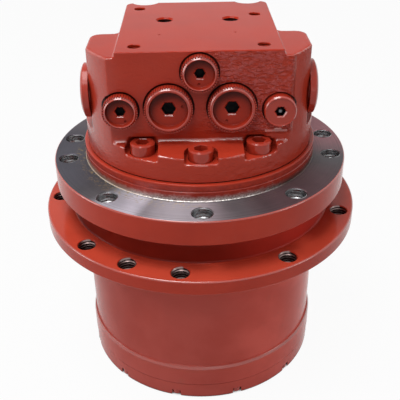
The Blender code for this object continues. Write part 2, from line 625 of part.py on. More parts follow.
def spindle_housing():
    skirt_ceiling = SEAL_MEETING + SEAT_GAP + SEAL_RING_HEIGHT + SEAT_GAP
    profile = [
        (PILOT_RADIUS, PILOT_TOP),
        (PILOT_RADIUS, FRAME_FLANGE_TOP),
        (FRAME_FLANGE_RADIUS - EDGE_CHAMFER, FRAME_FLANGE_TOP),
        (FRAME_FLANGE_RADIUS, FRAME_FLANGE_TOP - EDGE_CHAMFER),
        (FRAME_FLANGE_RADIUS, FRAME_FLANGE_BOTTOM),
        (SKIRT_OUTER_RADIUS, FRAME_FLANGE_BOTTOM),
        (SKIRT_OUTER_RADIUS, SKIRT_BOTTOM),
        (SEAL_SEAT_RADIUS, SKIRT_BOTTOM),
        (SEAL_SEAT_RADIUS, skirt_ceiling),
        (SPINDLE_BODY_RADIUS, skirt_ceiling),
        (SPINDLE_BODY_RADIUS, BEARING_SHOULDER),
        (BEARING_BORE_RADIUS, BEARING_SHOULDER),
        (BEARING_BORE_RADIUS, NUT_TOP),
        (SPINDLE_THREAD_RADIUS, NUT_TOP),
        (SPINDLE_THREAD_RADIUS, SPINDLE_END),
        (SHAFT_JOURNAL_RADIUS + RUNNING_GAP, SPINDLE_END),
        (SHAFT_JOURNAL_RADIUS + RUNNING_GAP, SHAFT_BEARING_BOTTOM - SEAT_GAP),
        (SHAFT_BEARING_RADIUS + SEAT_GAP, SHAFT_BEARING_BOTTOM - SEAT_GAP),
        (SHAFT_BEARING_RADIUS + SEAT_GAP, CHAMBER_FLOOR),
        (MOTOR_CHAMBER_RADIUS, CHAMBER_FLOOR),
        (MOTOR_CHAMBER_RADIUS, DISC_BOTTOM - SEAT_GAP),
        (BRAKE_CHAMBER_RADIUS, DISC_BOTTOM - SEAT_GAP),
        (BRAKE_CHAMBER_RADIUS, PILOT_TOP),
    ]
    housing = place("spindle_housing", turned("spindle_housing", profile), TURNED_STEEL)
    holes = []
    for degrees in FRAME_HOLE_ANGLES:
        x, y = at_angle(FRAME_BOLT_CIRCLE, degrees)
        low, high = FRAME_FLANGE_BOTTOM - 0.002, FRAME_FLANGE_TOP + 0.002
        holes.append((x, y, FRAME_HOLE_RADIUS, low, high, HOLE_FACETS))
    for degrees in BLOCK_SCREW_ANGLES:
        x, y = at_angle(BLOCK_SCREW_CIRCLE, degrees)
        low = POCKET_FLOOR - BLOCK_SCREW_GRIP - 2 * SEAT_GAP
        holes.append((x, y, BLOCK_SCREW_RADIUS + SEAT_GAP, low, PILOT_TOP + 0.002, HOLE_FACETS))
    for index in range(PLANET_COUNT):
        angle = planet_angle(index)
        x, y = SECOND_CENTRES * math.cos(angle), SECOND_CENTRES * math.sin(angle)
        high = SPINDLE_END + SECOND_PIN_SEAT + SEAT_GAP
        radius = SECOND_PIN_RADIUS + SEAT_GAP
        holes.append((x, y, radius, SPINDLE_END - 0.002, high, SMALL_FACETS))
    boolean(housing, "DIFFERENCE", drills("spindle_hole_drills", holes))


def block_outline():
    """The block in plan behind its front face: two ears, and a narrower plate at the back."""
    neck = -EAR_BACK + EAR_BACK_ROUND
    corner_x = BLOCK_PLATE_HALF_WIDTH - PLATE_CORNER_ROUND
    corner_y = BLOCK_BACK - PLATE_CORNER_ROUND
    ear_x = EAR_HALF_WIDTH - EAR_BACK_ROUND
    half = [(EAR_HALF_WIDTH, -BLOCK_FRONT)]
    half += arc((ear_x, -EAR_BACK - EAR_BACK_ROUND), EAR_BACK_ROUND, 0, 90, 3)
    half += arc((BLOCK_PLATE_HALF_WIDTH + EAR_BACK_ROUND, neck), EAR_BACK_ROUND, 270, 180, 3)
    half += arc((corner_x, corner_y), PLATE_CORNER_ROUND, 0, 90, 3)
    return half + [(-x, y) for x, y in reversed(half)]


def valve_block():
    """A round bar cut back to a shoulder round its foot, so that the block stands on it."""
    reach = BLOCK_BASE_RADIUS + 0.0050
    above = BLOCK_TOP + 0.0020
    bar = ring_profile(0, BLOCK_BASE_RADIUS, BLOCK_FOOT, BLOCK_TOP)
    block = place("valve_block", turned("valve_block", bar), RED_PAINT)

    around = [(-reach, -BLOCK_FRONT), (-reach, reach), (reach, reach), (reach, -BLOCK_FRONT)]
    surround = prism("block_surround", [block_outline() + around], BLOCK_SHOULDER, above)
    boolean(block, "DIFFERENCE", hidden("block_surround", surround))

    front = bmesh.new()
    strip = [(-reach, -reach), (reach, -reach), (reach, -BLOCK_FRONT), (-reach, -BLOCK_FRONT)]
    add_prism(front, [strip], BLOCK_FOOT + FRONT_SHOULDER_HEIGHT, above + 0.0050)
    for corner in front.verts:
        corner.co.z += FRONT_SHOULDER_SLOPE * (corner.co.y + BLOCK_FRONT)
    boolean(block, "DIFFERENCE", hidden("block_front", mesh_from("block_front", front)))

    tops = bmesh.new()
    for side in (-1, 1):
        inner, outer = side * BLOCK_PLATE_HALF_WIDTH, side * reach
        ear = [(inner, -reach), (outer, -reach), (outer, reach), (inner, reach)]
        add_prism(tops, [ear], EAR_TOP, above)
    boolean(block, "DIFFERENCE", hidden("ear_tops", mesh_from("ear_tops", tops)))

    pockets = []
    shanks = []
    for degrees in BLOCK_SCREW_ANGLES:
        x, y = at_angle(BLOCK_SCREW_CIRCLE, degrees)
        top = FRONT_POCKET_TOP if y < 0 else above
        pockets.append((x, y, BLOCK_POCKET_RADIUS, POCKET_FLOOR, top, SMALL_FACETS))
        low, high = BLOCK_FOOT - 0.002, POCKET_FLOOR + 0.001
        shanks.append((x, y, BLOCK_SCREW_RADIUS + SEAT_GAP, low, high, HOLE_FACETS))
    shaft_bore = (SHAFT_RADIUS + RUNNING_GAP) / math.cos(math.pi / SMALL_FACETS)
    shanks.append((0, 0, shaft_bore, BLOCK_FOOT - 0.002, SHAFT_TOP + RUNNING_GAP, SMALL_FACETS))
    boolean(block, "DIFFERENCE", drills("block_pocket_drills", pockets))
    boolean(block, "DIFFERENCE", drills("block_shank_drills", shanks))

    tops = [
        (x, y, MOUNT_HOLE_RADIUS, BLOCK_TOP - MOUNT_HOLE_DEPTH, above, HOLE_FACETS)
        for x, y in MOUNT_HOLES
    ]
    for side in (-1, 1):
        low = BLOCK_TOP - PORT_DEPTH
        tops.append((side * PORT_HALF_SPACING, PORT_BACK, PORT_RADIUS, low, above, SMALL_FACETS))
    boolean(block, "DIFFERENCE", drills("block_top_drills", tops))
    boolean(block, "DIFFERENCE", hidden("plug_bores", plug_bores()))
    boolean(block, "DIFFERENCE", hidden("spool_bore", spool_bore()))


def stepped_drill(shape, steps, facets):
    """A solid of stacked discs about Z: (radius, bottom, top) each, from the mouth inwards."""
    profile = [(0, steps[0][2])]
    for radius, bottom, top in steps:
        profile += [(radius, top), (radius, bottom)]
    profile.append((0, steps[-1][1]))
    add_turned(shape, profile, facets)


def plug_bores():
    """Spotfaces and threaded bores of the front plugs, as one cutter."""
    whole = bmesh.new()
    for _, x, over_foot, head_radius, thread_radius, _, _ in PLUGS:
        depth = PLUG_SPOTFACE_DEPTH + PLUG_THREAD_LENGTH + 2 * SEAT_GAP
        shape = bmesh.new()
        steps = [
            (head_radius + PLUG_SPOTFACE_MARGIN, -PLUG_SPOTFACE_DEPTH, 0.0080),
            (thread_radius + SEAT_GAP, -depth, -PLUG_SPOTFACE_DEPTH),
        ]
        stepped_drill(shape, steps, SMALL_FACETS)
        bore = mesh_from("plug_bore", shape)
        laid_along(bore, "-Y", (x, -BLOCK_FRONT, BLOCK_FOOT + over_foot))
        whole.from_mesh(bore)
        bpy.data.meshes.remove(bore)
    return mesh_from("plug_bores", whole)


def spool_bore():
    """The bore for the spool, right through, with a threaded mouth for a cap at each end."""
    bore = SPOOL_RADIUS + SPOOL_BORE_CLEARANCE
    mouth = SPOOL_CAP_THREAD_RADIUS + SEAT_GAP
    deep = EAR_HALF_WIDTH - SPOOL_CAP_THREAD_LENGTH - 2 * SEAT_GAP
    past = EAR_HALF_WIDTH + 0.0050
    profile = [
        (0, past), (mouth, past), (mouth, deep), (bore, deep),
        (bore, -deep), (mouth, -deep), (mouth, -past), (0, -past),
    ]  # fmt: skip
    mesh = turned("spool_bore", profile, CAP_FACETS)
    return laid_along(mesh, "+X", (0, SPOOL_AXIS_BACK, SPOOL_AXIS_HEIGHT))


def cap_screw(name, radius, head_radius, head_height, length, key):
    """A socket head cap screw, its head's underside at z = 0."""
    profile = [
        (0, head_height),
        (head_radius, head_height),
        (head_radius, 0),
        (radius, 0),
        (radius, -length),
        (0, -length),
    ]
    screw = bpy.data.objects.new(name, turned(name, profile, HOLE_FACETS))
    bpy.context.scene.collection.objects.link(screw)
    socket = prism("socket", [hexagon(key)], head_height * 0.45, head_height + 0.002)
    boolean(screw, "DIFFERENCE", hidden("socket", socket))
    return baked(screw)


def block_screws():
    mesh = cap_screw(
        "block_screw",
        BLOCK_SCREW_RADIUS,
        BLOCK_SCREW_HEAD_RADIUS,
        BLOCK_SCREW_HEAD_HEIGHT,
        BLOCK_SCREW_GRIP,
        BLOCK_SCREW_KEY,
    )
    for number, degrees in enumerate(BLOCK_SCREW_ANGLES, start=1):
        x, y = at_angle(BLOCK_SCREW_CIRCLE, degrees)
        seat = (x, y, POCKET_FLOOR + SEAT_GAP)
        place(f"block_screw_{number}", mesh, RED_PAINT, seat)


def front_plugs():
    for name, x, over_foot, head_radius, thread_radius, key, dish in PLUGS:
        rim = head_radius * 0.80
        profile = [
            (0, PLUG_HEAD_HEIGHT - dish),
            (rim, PLUG_HEAD_HEIGHT - dish),
            (rim, PLUG_HEAD_HEIGHT),
            (head_radius, PLUG_HEAD_HEIGHT),
            (head_radius, -PLUG_SPOTFACE_DEPTH + SEAT_GAP),
            (thread_radius, -PLUG_SPOTFACE_DEPTH + SEAT_GAP),
            (thread_radius, -PLUG_SPOTFACE_DEPTH - PLUG_THREAD_LENGTH),
            (0, -PLUG_SPOTFACE_DEPTH - PLUG_THREAD_LENGTH),
        ]
        plug = bpy.data.objects.new(name, turned(name, profile, SMALL_FACETS))
        bpy.context.scene.collection.objects.link(plug)
        low = PLUG_HEAD_HEIGHT - dish - 0.0060
        socket = prism("socket", [hexagon(key)], low, PLUG_HEAD_HEIGHT + 0.002)
        boolean(plug, "DIFFERENCE", hidden("socket", socket))
        mesh = laid_along(baked(plug), "-Y", (0, 0, 0))
        place(name, mesh, RED_PAINT, (x, -BLOCK_FRONT, BLOCK_FOOT + over_foot))


def spool_and_caps():
    for name, side in (("spool_cap_left", "-X"), ("spool_cap_right", "+X")):
        profile = [
            (0, SPOOL_CAP_HEIGHT),
            (SPOOL_CAP_RADIUS, SPOOL_CAP_HEIGHT),
            (SPOOL_CAP_RADIUS, SEAT_GAP),
            (SPOOL_CAP_THREAD_RADIUS, SEAT_GAP),
            (SPOOL_CAP_THREAD_RADIUS, -SPOOL_CAP_THREAD_LENGTH),
            (0, -SPOOL_CAP_THREAD_LENGTH),
        ]
        cap = bpy.data.objects.new(name, turned(name, profile, CAP_FACETS))
        bpy.context.scene.collection.objects.link(cap)
        socket = prism("socket", [hexagon(SPOOL_CAP_KEY)], -0.0020, SPOOL_CAP_HEIGHT + 0.002)
        boolean(cap, "DIFFERENCE", hidden("socket", socket))
        mesh = laid_along(baked(cap), side, (0, 0, 0))
        x = EAR_HALF_WIDTH if side == "+X" else -EAR_HALF_WIDTH
        place(name, mesh, RED_PAINT, (x, SPOOL_AXIS_BACK, SPOOL_AXIS_HEIGHT))

    end = SPOOL_HALF_LENGTH
    waist = SPOOL_WAIST_RADIUS
    profile = [(0, end), (SPOOL_RADIUS, end)]
    for low in (SPOOL_LAND, -SPOOL_LAND - SPOOL_GROOVE):
        high = low + SPOOL_GROOVE
        profile += [(SPOOL_RADIUS, high), (waist, high), (waist, low), (SPOOL_RADIUS, low)]
    profile += [(SPOOL_RADIUS, -end), (0, -end)]
    mesh = laid_along(turned("counterbalance_spool", profile, SMALL_FACETS), "+X", (0, 0, 0))
    location = (0, SPOOL_AXIS_BACK, SPOOL_AXIS_HEIGHT)
    place("counterbalance_spool", mesh, GROUND_STEEL, location)


def gasket():
    bottom = PILOT_TOP + SEAT_GAP
    shape = bmesh.new()
    outlines = [
        circle(BLOCK_BASE_RADIUS, ROUND_FACETS),
        circle(BRAKE_CHAMBER_RADIUS + 0.0020, INNER_FACETS),
    ]
    for degrees in BLOCK_SCREW_ANGLES:
        centre = at_angle(BLOCK_SCREW_CIRCLE, degrees)
        outlines.append(circle(BLOCK_SCREW_RADIUS + 0.0010, 6, centre))
    add_prism(shape, outlines, bottom, bottom + GASKET_THICKNESS)
    place("block_gasket", mesh_from("block_gasket", shape), GASKET_FIBRE)


def roller_outline(inner_radius, roller_radius, count):
    """A bearing cone seen from its end: the ring with its rollers round it."""
    points = []
    centre = inner_radius + roller_radius
    for number in range(count):
        middle = 2 * math.pi * number / count
        gap = math.pi / count * 0.42
        points.append((inner_radius * math.cos(middle - gap), inner_radius * math.sin(middle - gap)))
        for bend in (-35, 35):
            x = centre + roller_radius * math.cos(math.radians(bend))
            y = roller_radius * math.sin(math.radians(bend))
            points.append(
                (
                    x * math.cos(middle) - y * math.sin(middle),
                    x * math.sin(middle) + y * math.cos(middle),
                )
            )
    return points


def bearing_cone(name, bore, ring_radius, roller_radius, count, bottom, width):
    outline = roller_outline(ring_radius, roller_radius, count)
    mesh = prism(name, [outline, circle(bore, ROUND_FACETS)], bottom, bottom + width)
    return place(name, mesh, GROUND_STEEL)


def main_bearings():
    ring = BEARING_BORE_RADIUS + BEARING_RING_WALL
    roller = BEARING_ROLLER_RADIUS
    cup_inner = ring + 2 * roller + RUNNING_GAP
    for name, bottom in (("lower", LOWER_BEARING), ("upper", UPPER_BEARING)):
        bore = BEARING_BORE_RADIUS + SEAT_GAP
        bearing_cone(
            f"{name}_bearing_cone", bore, ring, roller, BEARING_ROLLERS, bottom, BEARING_WIDTH
        )
        cup = ring_profile(cup_inner, BEARING_OUTER_RADIUS, bottom, bottom + BEARING_WIDTH)
        place(f"{name}_bearing_cup", turned(f"{name}_bearing_cup", cup), GROUND_STEEL)


def bearing_nut():
    outline = slotted_round(NUT_RADIUS, NUT_SLOT_DEPTH, NUT_SLOTS)
    bore = circle(SPINDLE_THREAD_RADIUS + SEAT_GAP, ROUND_FACETS)
    mesh = prism("bearing_nut", [outline, bore], NUT_TOP - NUT_HEIGHT, NUT_TOP)
    place("bearing_nut", mesh, TURNED_STEEL)


def slotted_round(radius, slot_depth, count, slot_share=0.25):
    """A round outline with evenly spaced slots in its rim."""
    points = []
    for number in range(count):
        middle = 2 * math.pi * number / count
        half_slot = math.pi / count * slot_share
        half_pitch = math.pi / count
        low = radius - slot_depth
        for angle, r in (
            (middle - half_slot, radius),
            (middle - half_slot, low),
            (middle + half_slot, low),
            (middle + half_slot, radius),
            (middle + half_pitch, radius),
        ):
            points.append((r * math.cos(angle), r * math.sin(angle)))
    return points


def floating_seal():
    for name, flip in (("hub_seal_ring", -1), ("spindle_seal_ring", 1)):
        face = SEAL_MEETING + flip * SEAT_GAP
        heights = [face, face + flip * SEAL_FACE_HEIGHT, face + flip * SEAL_RING_HEIGHT]
        profile = [
            (SEAL_RING_FACE_RADIUS, heights[0]),
            (SEAL_RING_FACE_RADIUS, heights[1]),
            (SEAL_RING_BODY_RADIUS, heights[1]),
            (SEAL_RING_BODY_RADIUS, heights[2]),
            (SEAL_RING_INNER_RADIUS, heights[2]),
            (SEAL_RING_INNER_RADIUS, heights[0]),
        ]
        place(name, turned(name, profile, INNER_FACETS), GROUND_STEEL)
    middle = SEAL_RING_BODY_RADIUS + SEAL_CORD_ROOM / 2
    tube = min(SEAL_CORD_RADIUS, SEAL_CORD_ROOM / 2 - SEAT_GAP)
    for name, flip in (("hub_seal_cord", -1), ("spindle_seal_cord", 1)):
        height = SEAL_MEETING + flip * (SEAL_FACE_HEIGHT + 2 * SEAT_GAP + SEAL_CORD_RADIUS)
        profile = [(middle + x, height + z) for x, z in circle(tube, 5)]
        place(name, turned(name, profile, INNER_FACETS), RUBBER)


def drive_gear():
    """The first sun, with a long stem that runs up into the motor shaft."""
    angle = planet_angle(0, PLANET_PITCH_SHIFT)
    teeth = external_gear(FIRST_SUN_TEETH, angle + half_space(FIRST_SUN_TEETH, FIRST_PLANET_TEETH))
    gear = prism("drive_gear", [teeth], FIRST_STAGE_BOTTOM, FIRST_STAGE_TOP)
    piece = place("drive_gear", gear, GROUND_STEEL)
    top = shaft_end() + STEM_SOCKET_DEPTH - SEAT_GAP
    stem = ring_profile(0, STEM_RADIUS, FIRST_STAGE_TOP - 0.0020, top)
    boolean(piece, "UNION", hidden("drive_gear_stem", turned("drive_gear_stem", stem, SMALL_FACETS)))


def half_space(sun_teeth, planet_teeth):
    """Turns a sun so that a planet with a tooth pointing outwards meshes with it."""
    return math.pi / sun_teeth if planet_teeth % 2 == 0 else 0.0


def shaft_end():
    return SECOND_STAGE_TOP + STAGE_GAP / 2


def first_carrier():
    bore = SECOND_SUN_STUB_RADIUS + SEAT_GAP
    plate = prism(
        "first_carrier",
        [circle(FIRST_CENTRES + FIRST_PIN_RADIUS + 0.0030, ROUND_FACETS // 2), circle(bore, SMALL_FACETS)],
        CARRIER_BOTTOM,
        CARRIER_TOP,
    )
    carrier = place("first_carrier", plate, CAST_IRON)
    pins = []
    for index in range(PLANET_COUNT):
        angle = planet_angle(index, PLANET_PITCH_SHIFT)
        x, y = FIRST_CENTRES * math.cos(angle), FIRST_CENTRES * math.sin(angle)
        top = CARRIER_BOTTOM + 0.0020
        pins.append((x, y, FIRST_PIN_RADIUS, FIRST_STAGE_BOTTOM, top, SMALL_FACETS))
    boolean(carrier, "UNION", drills("first_carrier_pins", pins))


def second_sun():
    angle = planet_angle(0) + half_space(SECOND_SUN_TEETH, SECOND_PLANET_TEETH)
    teeth = external_gear(SECOND_SUN_TEETH, angle)
    bore = circle(SECOND_SUN_BORE_RADIUS, SMALL_FACETS)
    gear = prism("second_sun", [teeth, bore], SECOND_STAGE_BOTTOM - SEAT_GAP, SECOND_STAGE_TOP)
    piece = place("second_sun", gear, GROUND_STEEL)
    outlines = [circle(SECOND_SUN_STUB_RADIUS, SMALL_FACETS), bore]
    stub = prism("second_sun_stub", outlines, CARRIER_BOTTOM, SECOND_STAGE_BOTTOM + 0.0010)
    boolean(piece, "UNION", hidden("second_sun_stub", stub))


def planets():
    stages = (
        ("first", FIRST_PLANET_TEETH, FIRST_CENTRES, PLANET_PITCH_SHIFT, FIRST_PIN_RADIUS,
         FIRST_STAGE_BOTTOM, FIRST_STAGE_TOP),
        ("second", SECOND_PLANET_TEETH, SECOND_CENTRES, 0, SECOND_PIN_RADIUS,
         SECOND_STAGE_BOTTOM, SECOND_STAGE_TOP),
    )  # fmt: skip
    for stage, teeth, centres, shift, pin, bottom, top in stages:
        outline = external_gear(teeth)
        bore = circle(pin + RUNNING_GAP, SMALL_FACETS)
        mesh = prism(f"{stage}_planet", [outline, bore], 0, top - bottom)
        for index in range(PLANET_COUNT):
            angle = planet_angle(index, shift)
            location = (centres * math.cos(angle), centres * math.sin(angle), bottom)
            place(f"{stage}_planet_{index + 1}", mesh, GROUND_STEEL, location, angle)


def second_stage_pins():
    top = SPINDLE_END + SECOND_PIN_SEAT
    profile = ring_profile(0, SECOND_PIN_RADIUS, 0, top - SECOND_STAGE_BOTTOM)
    mesh = turned("planet_pin", profile, SMALL_FACETS)
    for index in range(PLANET_COUNT):
        angle = planet_angle(index)
        x, y = SECOND_CENTRES * math.cos(angle), SECOND_CENTRES * math.sin(angle)
        location = (x, y, SECOND_STAGE_BOTTOM)
        place(f"planet_pin_{index + 1}", mesh, GROUND_STEEL, location)


def motor_shaft():
    end = shaft_end() + STAGE_GAP
    socket = STEM_RADIUS + SEAT_GAP
    journal_top = SHAFT_BEARING_BOTTOM + SHAFT_BEARING_WIDTH + SEAT_GAP
    profile = [
        (0, SHAFT_TOP),
        (SHAFT_RADIUS, SHAFT_TOP),
        (SHAFT_RADIUS, journal_top + SHAFT_SHOULDER_LENGTH),
        (SHAFT_SHOULDER_RADIUS, journal_top + SHAFT_SHOULDER_LENGTH),
        (SHAFT_SHOULDER_RADIUS, journal_top),
        (SHAFT_JOURNAL_RADIUS, journal_top),
        (SHAFT_JOURNAL_RADIUS, end),
        (socket, end),
        (socket, end + STEM_SOCKET_DEPTH),
        (0, end + STEM_SOCKET_DEPTH),
    ]
    place("motor_shaft", turned("motor_shaft", profile, SMALL_FACETS), GROUND_STEEL)
    ring = SHAFT_JOURNAL_RADIUS + SHAFT_BEARING_RING_WALL
    roller = SHAFT_ROLLER_RADIUS
    bearing_cone(
        "shaft_bearing_cone",
        SHAFT_JOURNAL_RADIUS + SEAT_GAP,
        ring,
        roller,
        SHAFT_BEARING_ROLLERS,
        SHAFT_BEARING_BOTTOM,
        SHAFT_BEARING_WIDTH,
    )
    cup = ring_profile(
        ring + 2 * roller + RUNNING_GAP,
        SHAFT_BEARING_RADIUS,
        SHAFT_BEARING_BOTTOM,
        SHAFT_BEARING_BOTTOM + SHAFT_BEARING_WIDTH,
    )
    place("shaft_bearing_cup", turned("shaft_bearing_cup", cup, INNER_FACETS), GROUND_STEEL)


def piston_centre(index):
    angle = 2 * math.pi * index / PISTON_COUNT
    return PISTON_CIRCLE * math.cos(angle), PISTON_CIRCLE * math.sin(angle)


def cylinder_block():
    shaft_bore = (SHAFT_RADIUS + SEAT_GAP) / math.cos(math.pi / SMALL_FACETS)
    outlines = [circle(BARREL_RADIUS, INNER_FACETS), circle(shaft_bore, SMALL_FACETS)]
    bore = PISTON_RADIUS + PISTON_BORE_CLEARANCE
    outlines += [circle(bore, HOLE_FACETS, piston_centre(i)) for i in range(PISTON_COUNT)]
    mesh = prism("cylinder_block", outlines, BARREL_BOTTOM, BARREL_TOP)
    place("cylinder_block", mesh, CAST_IRON)


def pistons():
    neck = PISTON_RADIUS * 0.62
    shoe_top = SHOE_SOLE + SHOE_HEIGHT
    profile = [
        (0, shoe_top + PISTON_LENGTH),
        (PISTON_RADIUS, shoe_top + PISTON_LENGTH),
        (PISTON_RADIUS, shoe_top + 0.0030),
        (neck, SHOE_SOLE + SHOE_HEIGHT * 0.45),
        (SHOE_RADIUS, SHOE_SOLE + SHOE_HEIGHT * 0.45),
        (SHOE_RADIUS, SHOE_SOLE),
        (0, SHOE_SOLE),
    ]
    mesh = turned("piston", profile, HOLE_FACETS)
    for index in range(PISTON_COUNT):
        x, y = piston_centre(index)
        place(f"piston_{index + 1}", mesh, GROUND_STEEL, (x, y, 0))
    bottom = SHOE_SOLE + SHOE_HEIGHT * 0.45 + SEAT_GAP
    outlines = [circle(PISTON_CIRCLE + SHOE_RADIUS, INNER_FACETS)]
    outlines.append(circle(SHAFT_RADIUS + RETAINER_CLEARANCE, SMALL_FACETS))
    hole = RETAINER_HOLE_RADIUS
    outlines += [circle(hole, THREAD_FACETS, piston_centre(i)) for i in range(PISTON_COUNT)]
    mesh = prism("shoe_retainer", outlines, bottom, bottom + RETAINER_THICKNESS)
    place("shoe_retainer", mesh, BRONZE)


def swash_plate():
    """A fixed wedge whose face leans; its high side clears the shoes as they pass."""
    reach = PISTON_CIRCLE + SHOE_RADIUS
    high = SHOE_SOLE - SEAT_GAP
    low = high - 2 * reach * math.tan(SWASH_ANGLE)
    profile = ring_profile(SWASH_BORE_RADIUS, SWASH_RADIUS, SWASH_BOTTOM, high + SWASH_BLANK_RISE)
    plate = place("swash_plate", turned("swash_plate", profile, INNER_FACETS), GROUND_STEEL)
    half = 2 * SWASH_RADIUS
    shape = bmesh.new()
    add_prism(shape, [[(-half, -half), (half, -half), (half, half), (-half, half)]], 0, half)
    lean = Matrix.Rotation(SWASH_ANGLE, 4, "X")
    bmesh.ops.transform(shape, matrix=lean, verts=shape.verts)
    bmesh.ops.translate(shape, vec=(0, 0, (high + low) / 2), verts=shape.verts)
    boolean(plate, "DIFFERENCE", hidden("swash_face_cutter", mesh_from("swash_face_cutter", shape)))
    shape = bmesh.new()
    add_prism(shape, [[(-half, -half), (half, -half), (half, half), (-half, half)]], high, high + half)
    boolean(plate, "DIFFERENCE", hidden("swash_top_cutter", mesh_from("swash_top_cutter", shape)))


def valve_plate():
    outlines = [
        circle(VALVE_PLATE_RADIUS, INNER_FACETS),
        circle(SHAFT_RADIUS + RUNNING_GAP, SMALL_FACETS),
    ]
    width = PISTON_RADIUS * 0.55
    for start in (20, 200):
        outer = arc((0, 0), PISTON_CIRCLE + width, start, start + 140, 4)
        inner = arc((0, 0), PISTON_CIRCLE - width, start + 140, start, 4)
        outlines.append(outer + inner)
    bottom = VALVE_PLATE_TOP - VALVE_PLATE_THICKNESS
    mesh = prism("valve_plate", outlines, bottom, VALVE_PLATE_TOP)
    place("valve_plate", mesh, BRONZE)


def parking_brake():
    bore = BARREL_RADIUS + DISC_LUG_CLEARANCE + DISC_LUG_HEIGHT
    lugged = slotted_round(bore, DISC_LUG_HEIGHT, DISC_LUGS, 0.33)
    outlines = [circle(DISC_OUTER_RADIUS, INNER_FACETS), lugged]
    mesh = prism("friction_disc", outlines, DISC_BOTTOM, DISC_BOTTOM + DISC_THICKNESS)
    place("friction_disc", mesh, FRICTION_LINING)

    outer = BRAKE_CHAMBER_RADIUS - SEAT_GAP
    profile = [
        (outer, BRAKE_PISTON_TOP),
        (outer, BRAKE_PISTON_BOTTOM + BRAKE_PISTON_SKIRT),
        (outer - BRAKE_PISTON_STEP, BRAKE_PISTON_BOTTOM + BRAKE_PISTON_SKIRT),
        (outer - BRAKE_PISTON_STEP, BRAKE_PISTON_BOTTOM),
        (BRAKE_PISTON_INNER_RADIUS, BRAKE_PISTON_BOTTOM),
        (BRAKE_PISTON_INNER_RADIUS, BRAKE_PISTON_TOP),
    ]
    place("brake_piston", turned("brake_piston", profile, INNER_FACETS), CAST_IRON)

    low = BRAKE_PISTON_TOP + SEAT_GAP
    high = BLOCK_FOOT - SEAT_GAP
    outer = BRAKE_CHAMBER_RADIUS - SPRING_OUTER_CLEARANCE
    inner = BRAKE_PISTON_INNER_RADIUS + SPRING_INNER_SETBACK
    profile = [
        (outer, low + SPRING_THICKNESS),
        (outer, low),
        (inner, high - SPRING_THICKNESS),
        (inner, high),
    ]
    place("brake_spring", turned("brake_spring", profile, INNER_FACETS), GROUND_STEEL)


def build():
    clear_scene()
    hub_case()
    end_cover()
    spindle_housing()
    valve_block()
    block_screws()
    front_plugs()
    spool_and_caps()
    gasket()
    main_bearings()
    bearing_nut()
    floating_seal()
    drive_gear()
    first_carrier()
    second_sun()
    planets()
    second_stage_pins()
    motor_shaft()
    cylinder_block()
    pistons()
    swash_plate()
    valve_plate()
    parking_brake()


build()
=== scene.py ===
import math

import bmesh
import bpy
from mathutils import Matrix, Vector, noise


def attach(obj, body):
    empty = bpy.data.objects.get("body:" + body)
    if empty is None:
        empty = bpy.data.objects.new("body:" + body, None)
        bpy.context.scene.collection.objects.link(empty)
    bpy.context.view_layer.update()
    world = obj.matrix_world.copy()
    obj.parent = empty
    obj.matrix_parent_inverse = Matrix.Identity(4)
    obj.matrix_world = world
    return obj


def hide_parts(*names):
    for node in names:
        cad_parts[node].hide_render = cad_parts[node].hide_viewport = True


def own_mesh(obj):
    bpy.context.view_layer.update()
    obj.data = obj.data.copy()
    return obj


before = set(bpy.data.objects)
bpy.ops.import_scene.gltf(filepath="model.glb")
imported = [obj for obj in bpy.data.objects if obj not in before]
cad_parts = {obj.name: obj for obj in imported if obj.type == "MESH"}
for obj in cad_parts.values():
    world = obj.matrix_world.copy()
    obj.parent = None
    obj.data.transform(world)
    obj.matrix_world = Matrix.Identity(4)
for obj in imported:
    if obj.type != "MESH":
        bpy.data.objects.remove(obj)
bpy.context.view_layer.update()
mm = 0.001
print("frame loaded,", len(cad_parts), "nodes")


def atAngle(radius, degrees):
    # the spot at an azimuth that counts from the front (-Y) towards +X
    angle = math.radians(degrees - 90)
    return radius * math.cos(angle), radius * math.sin(angle)


def around(radius, angles):
    return [atAngle(radius, degrees) for degrees in angles]


# node trees

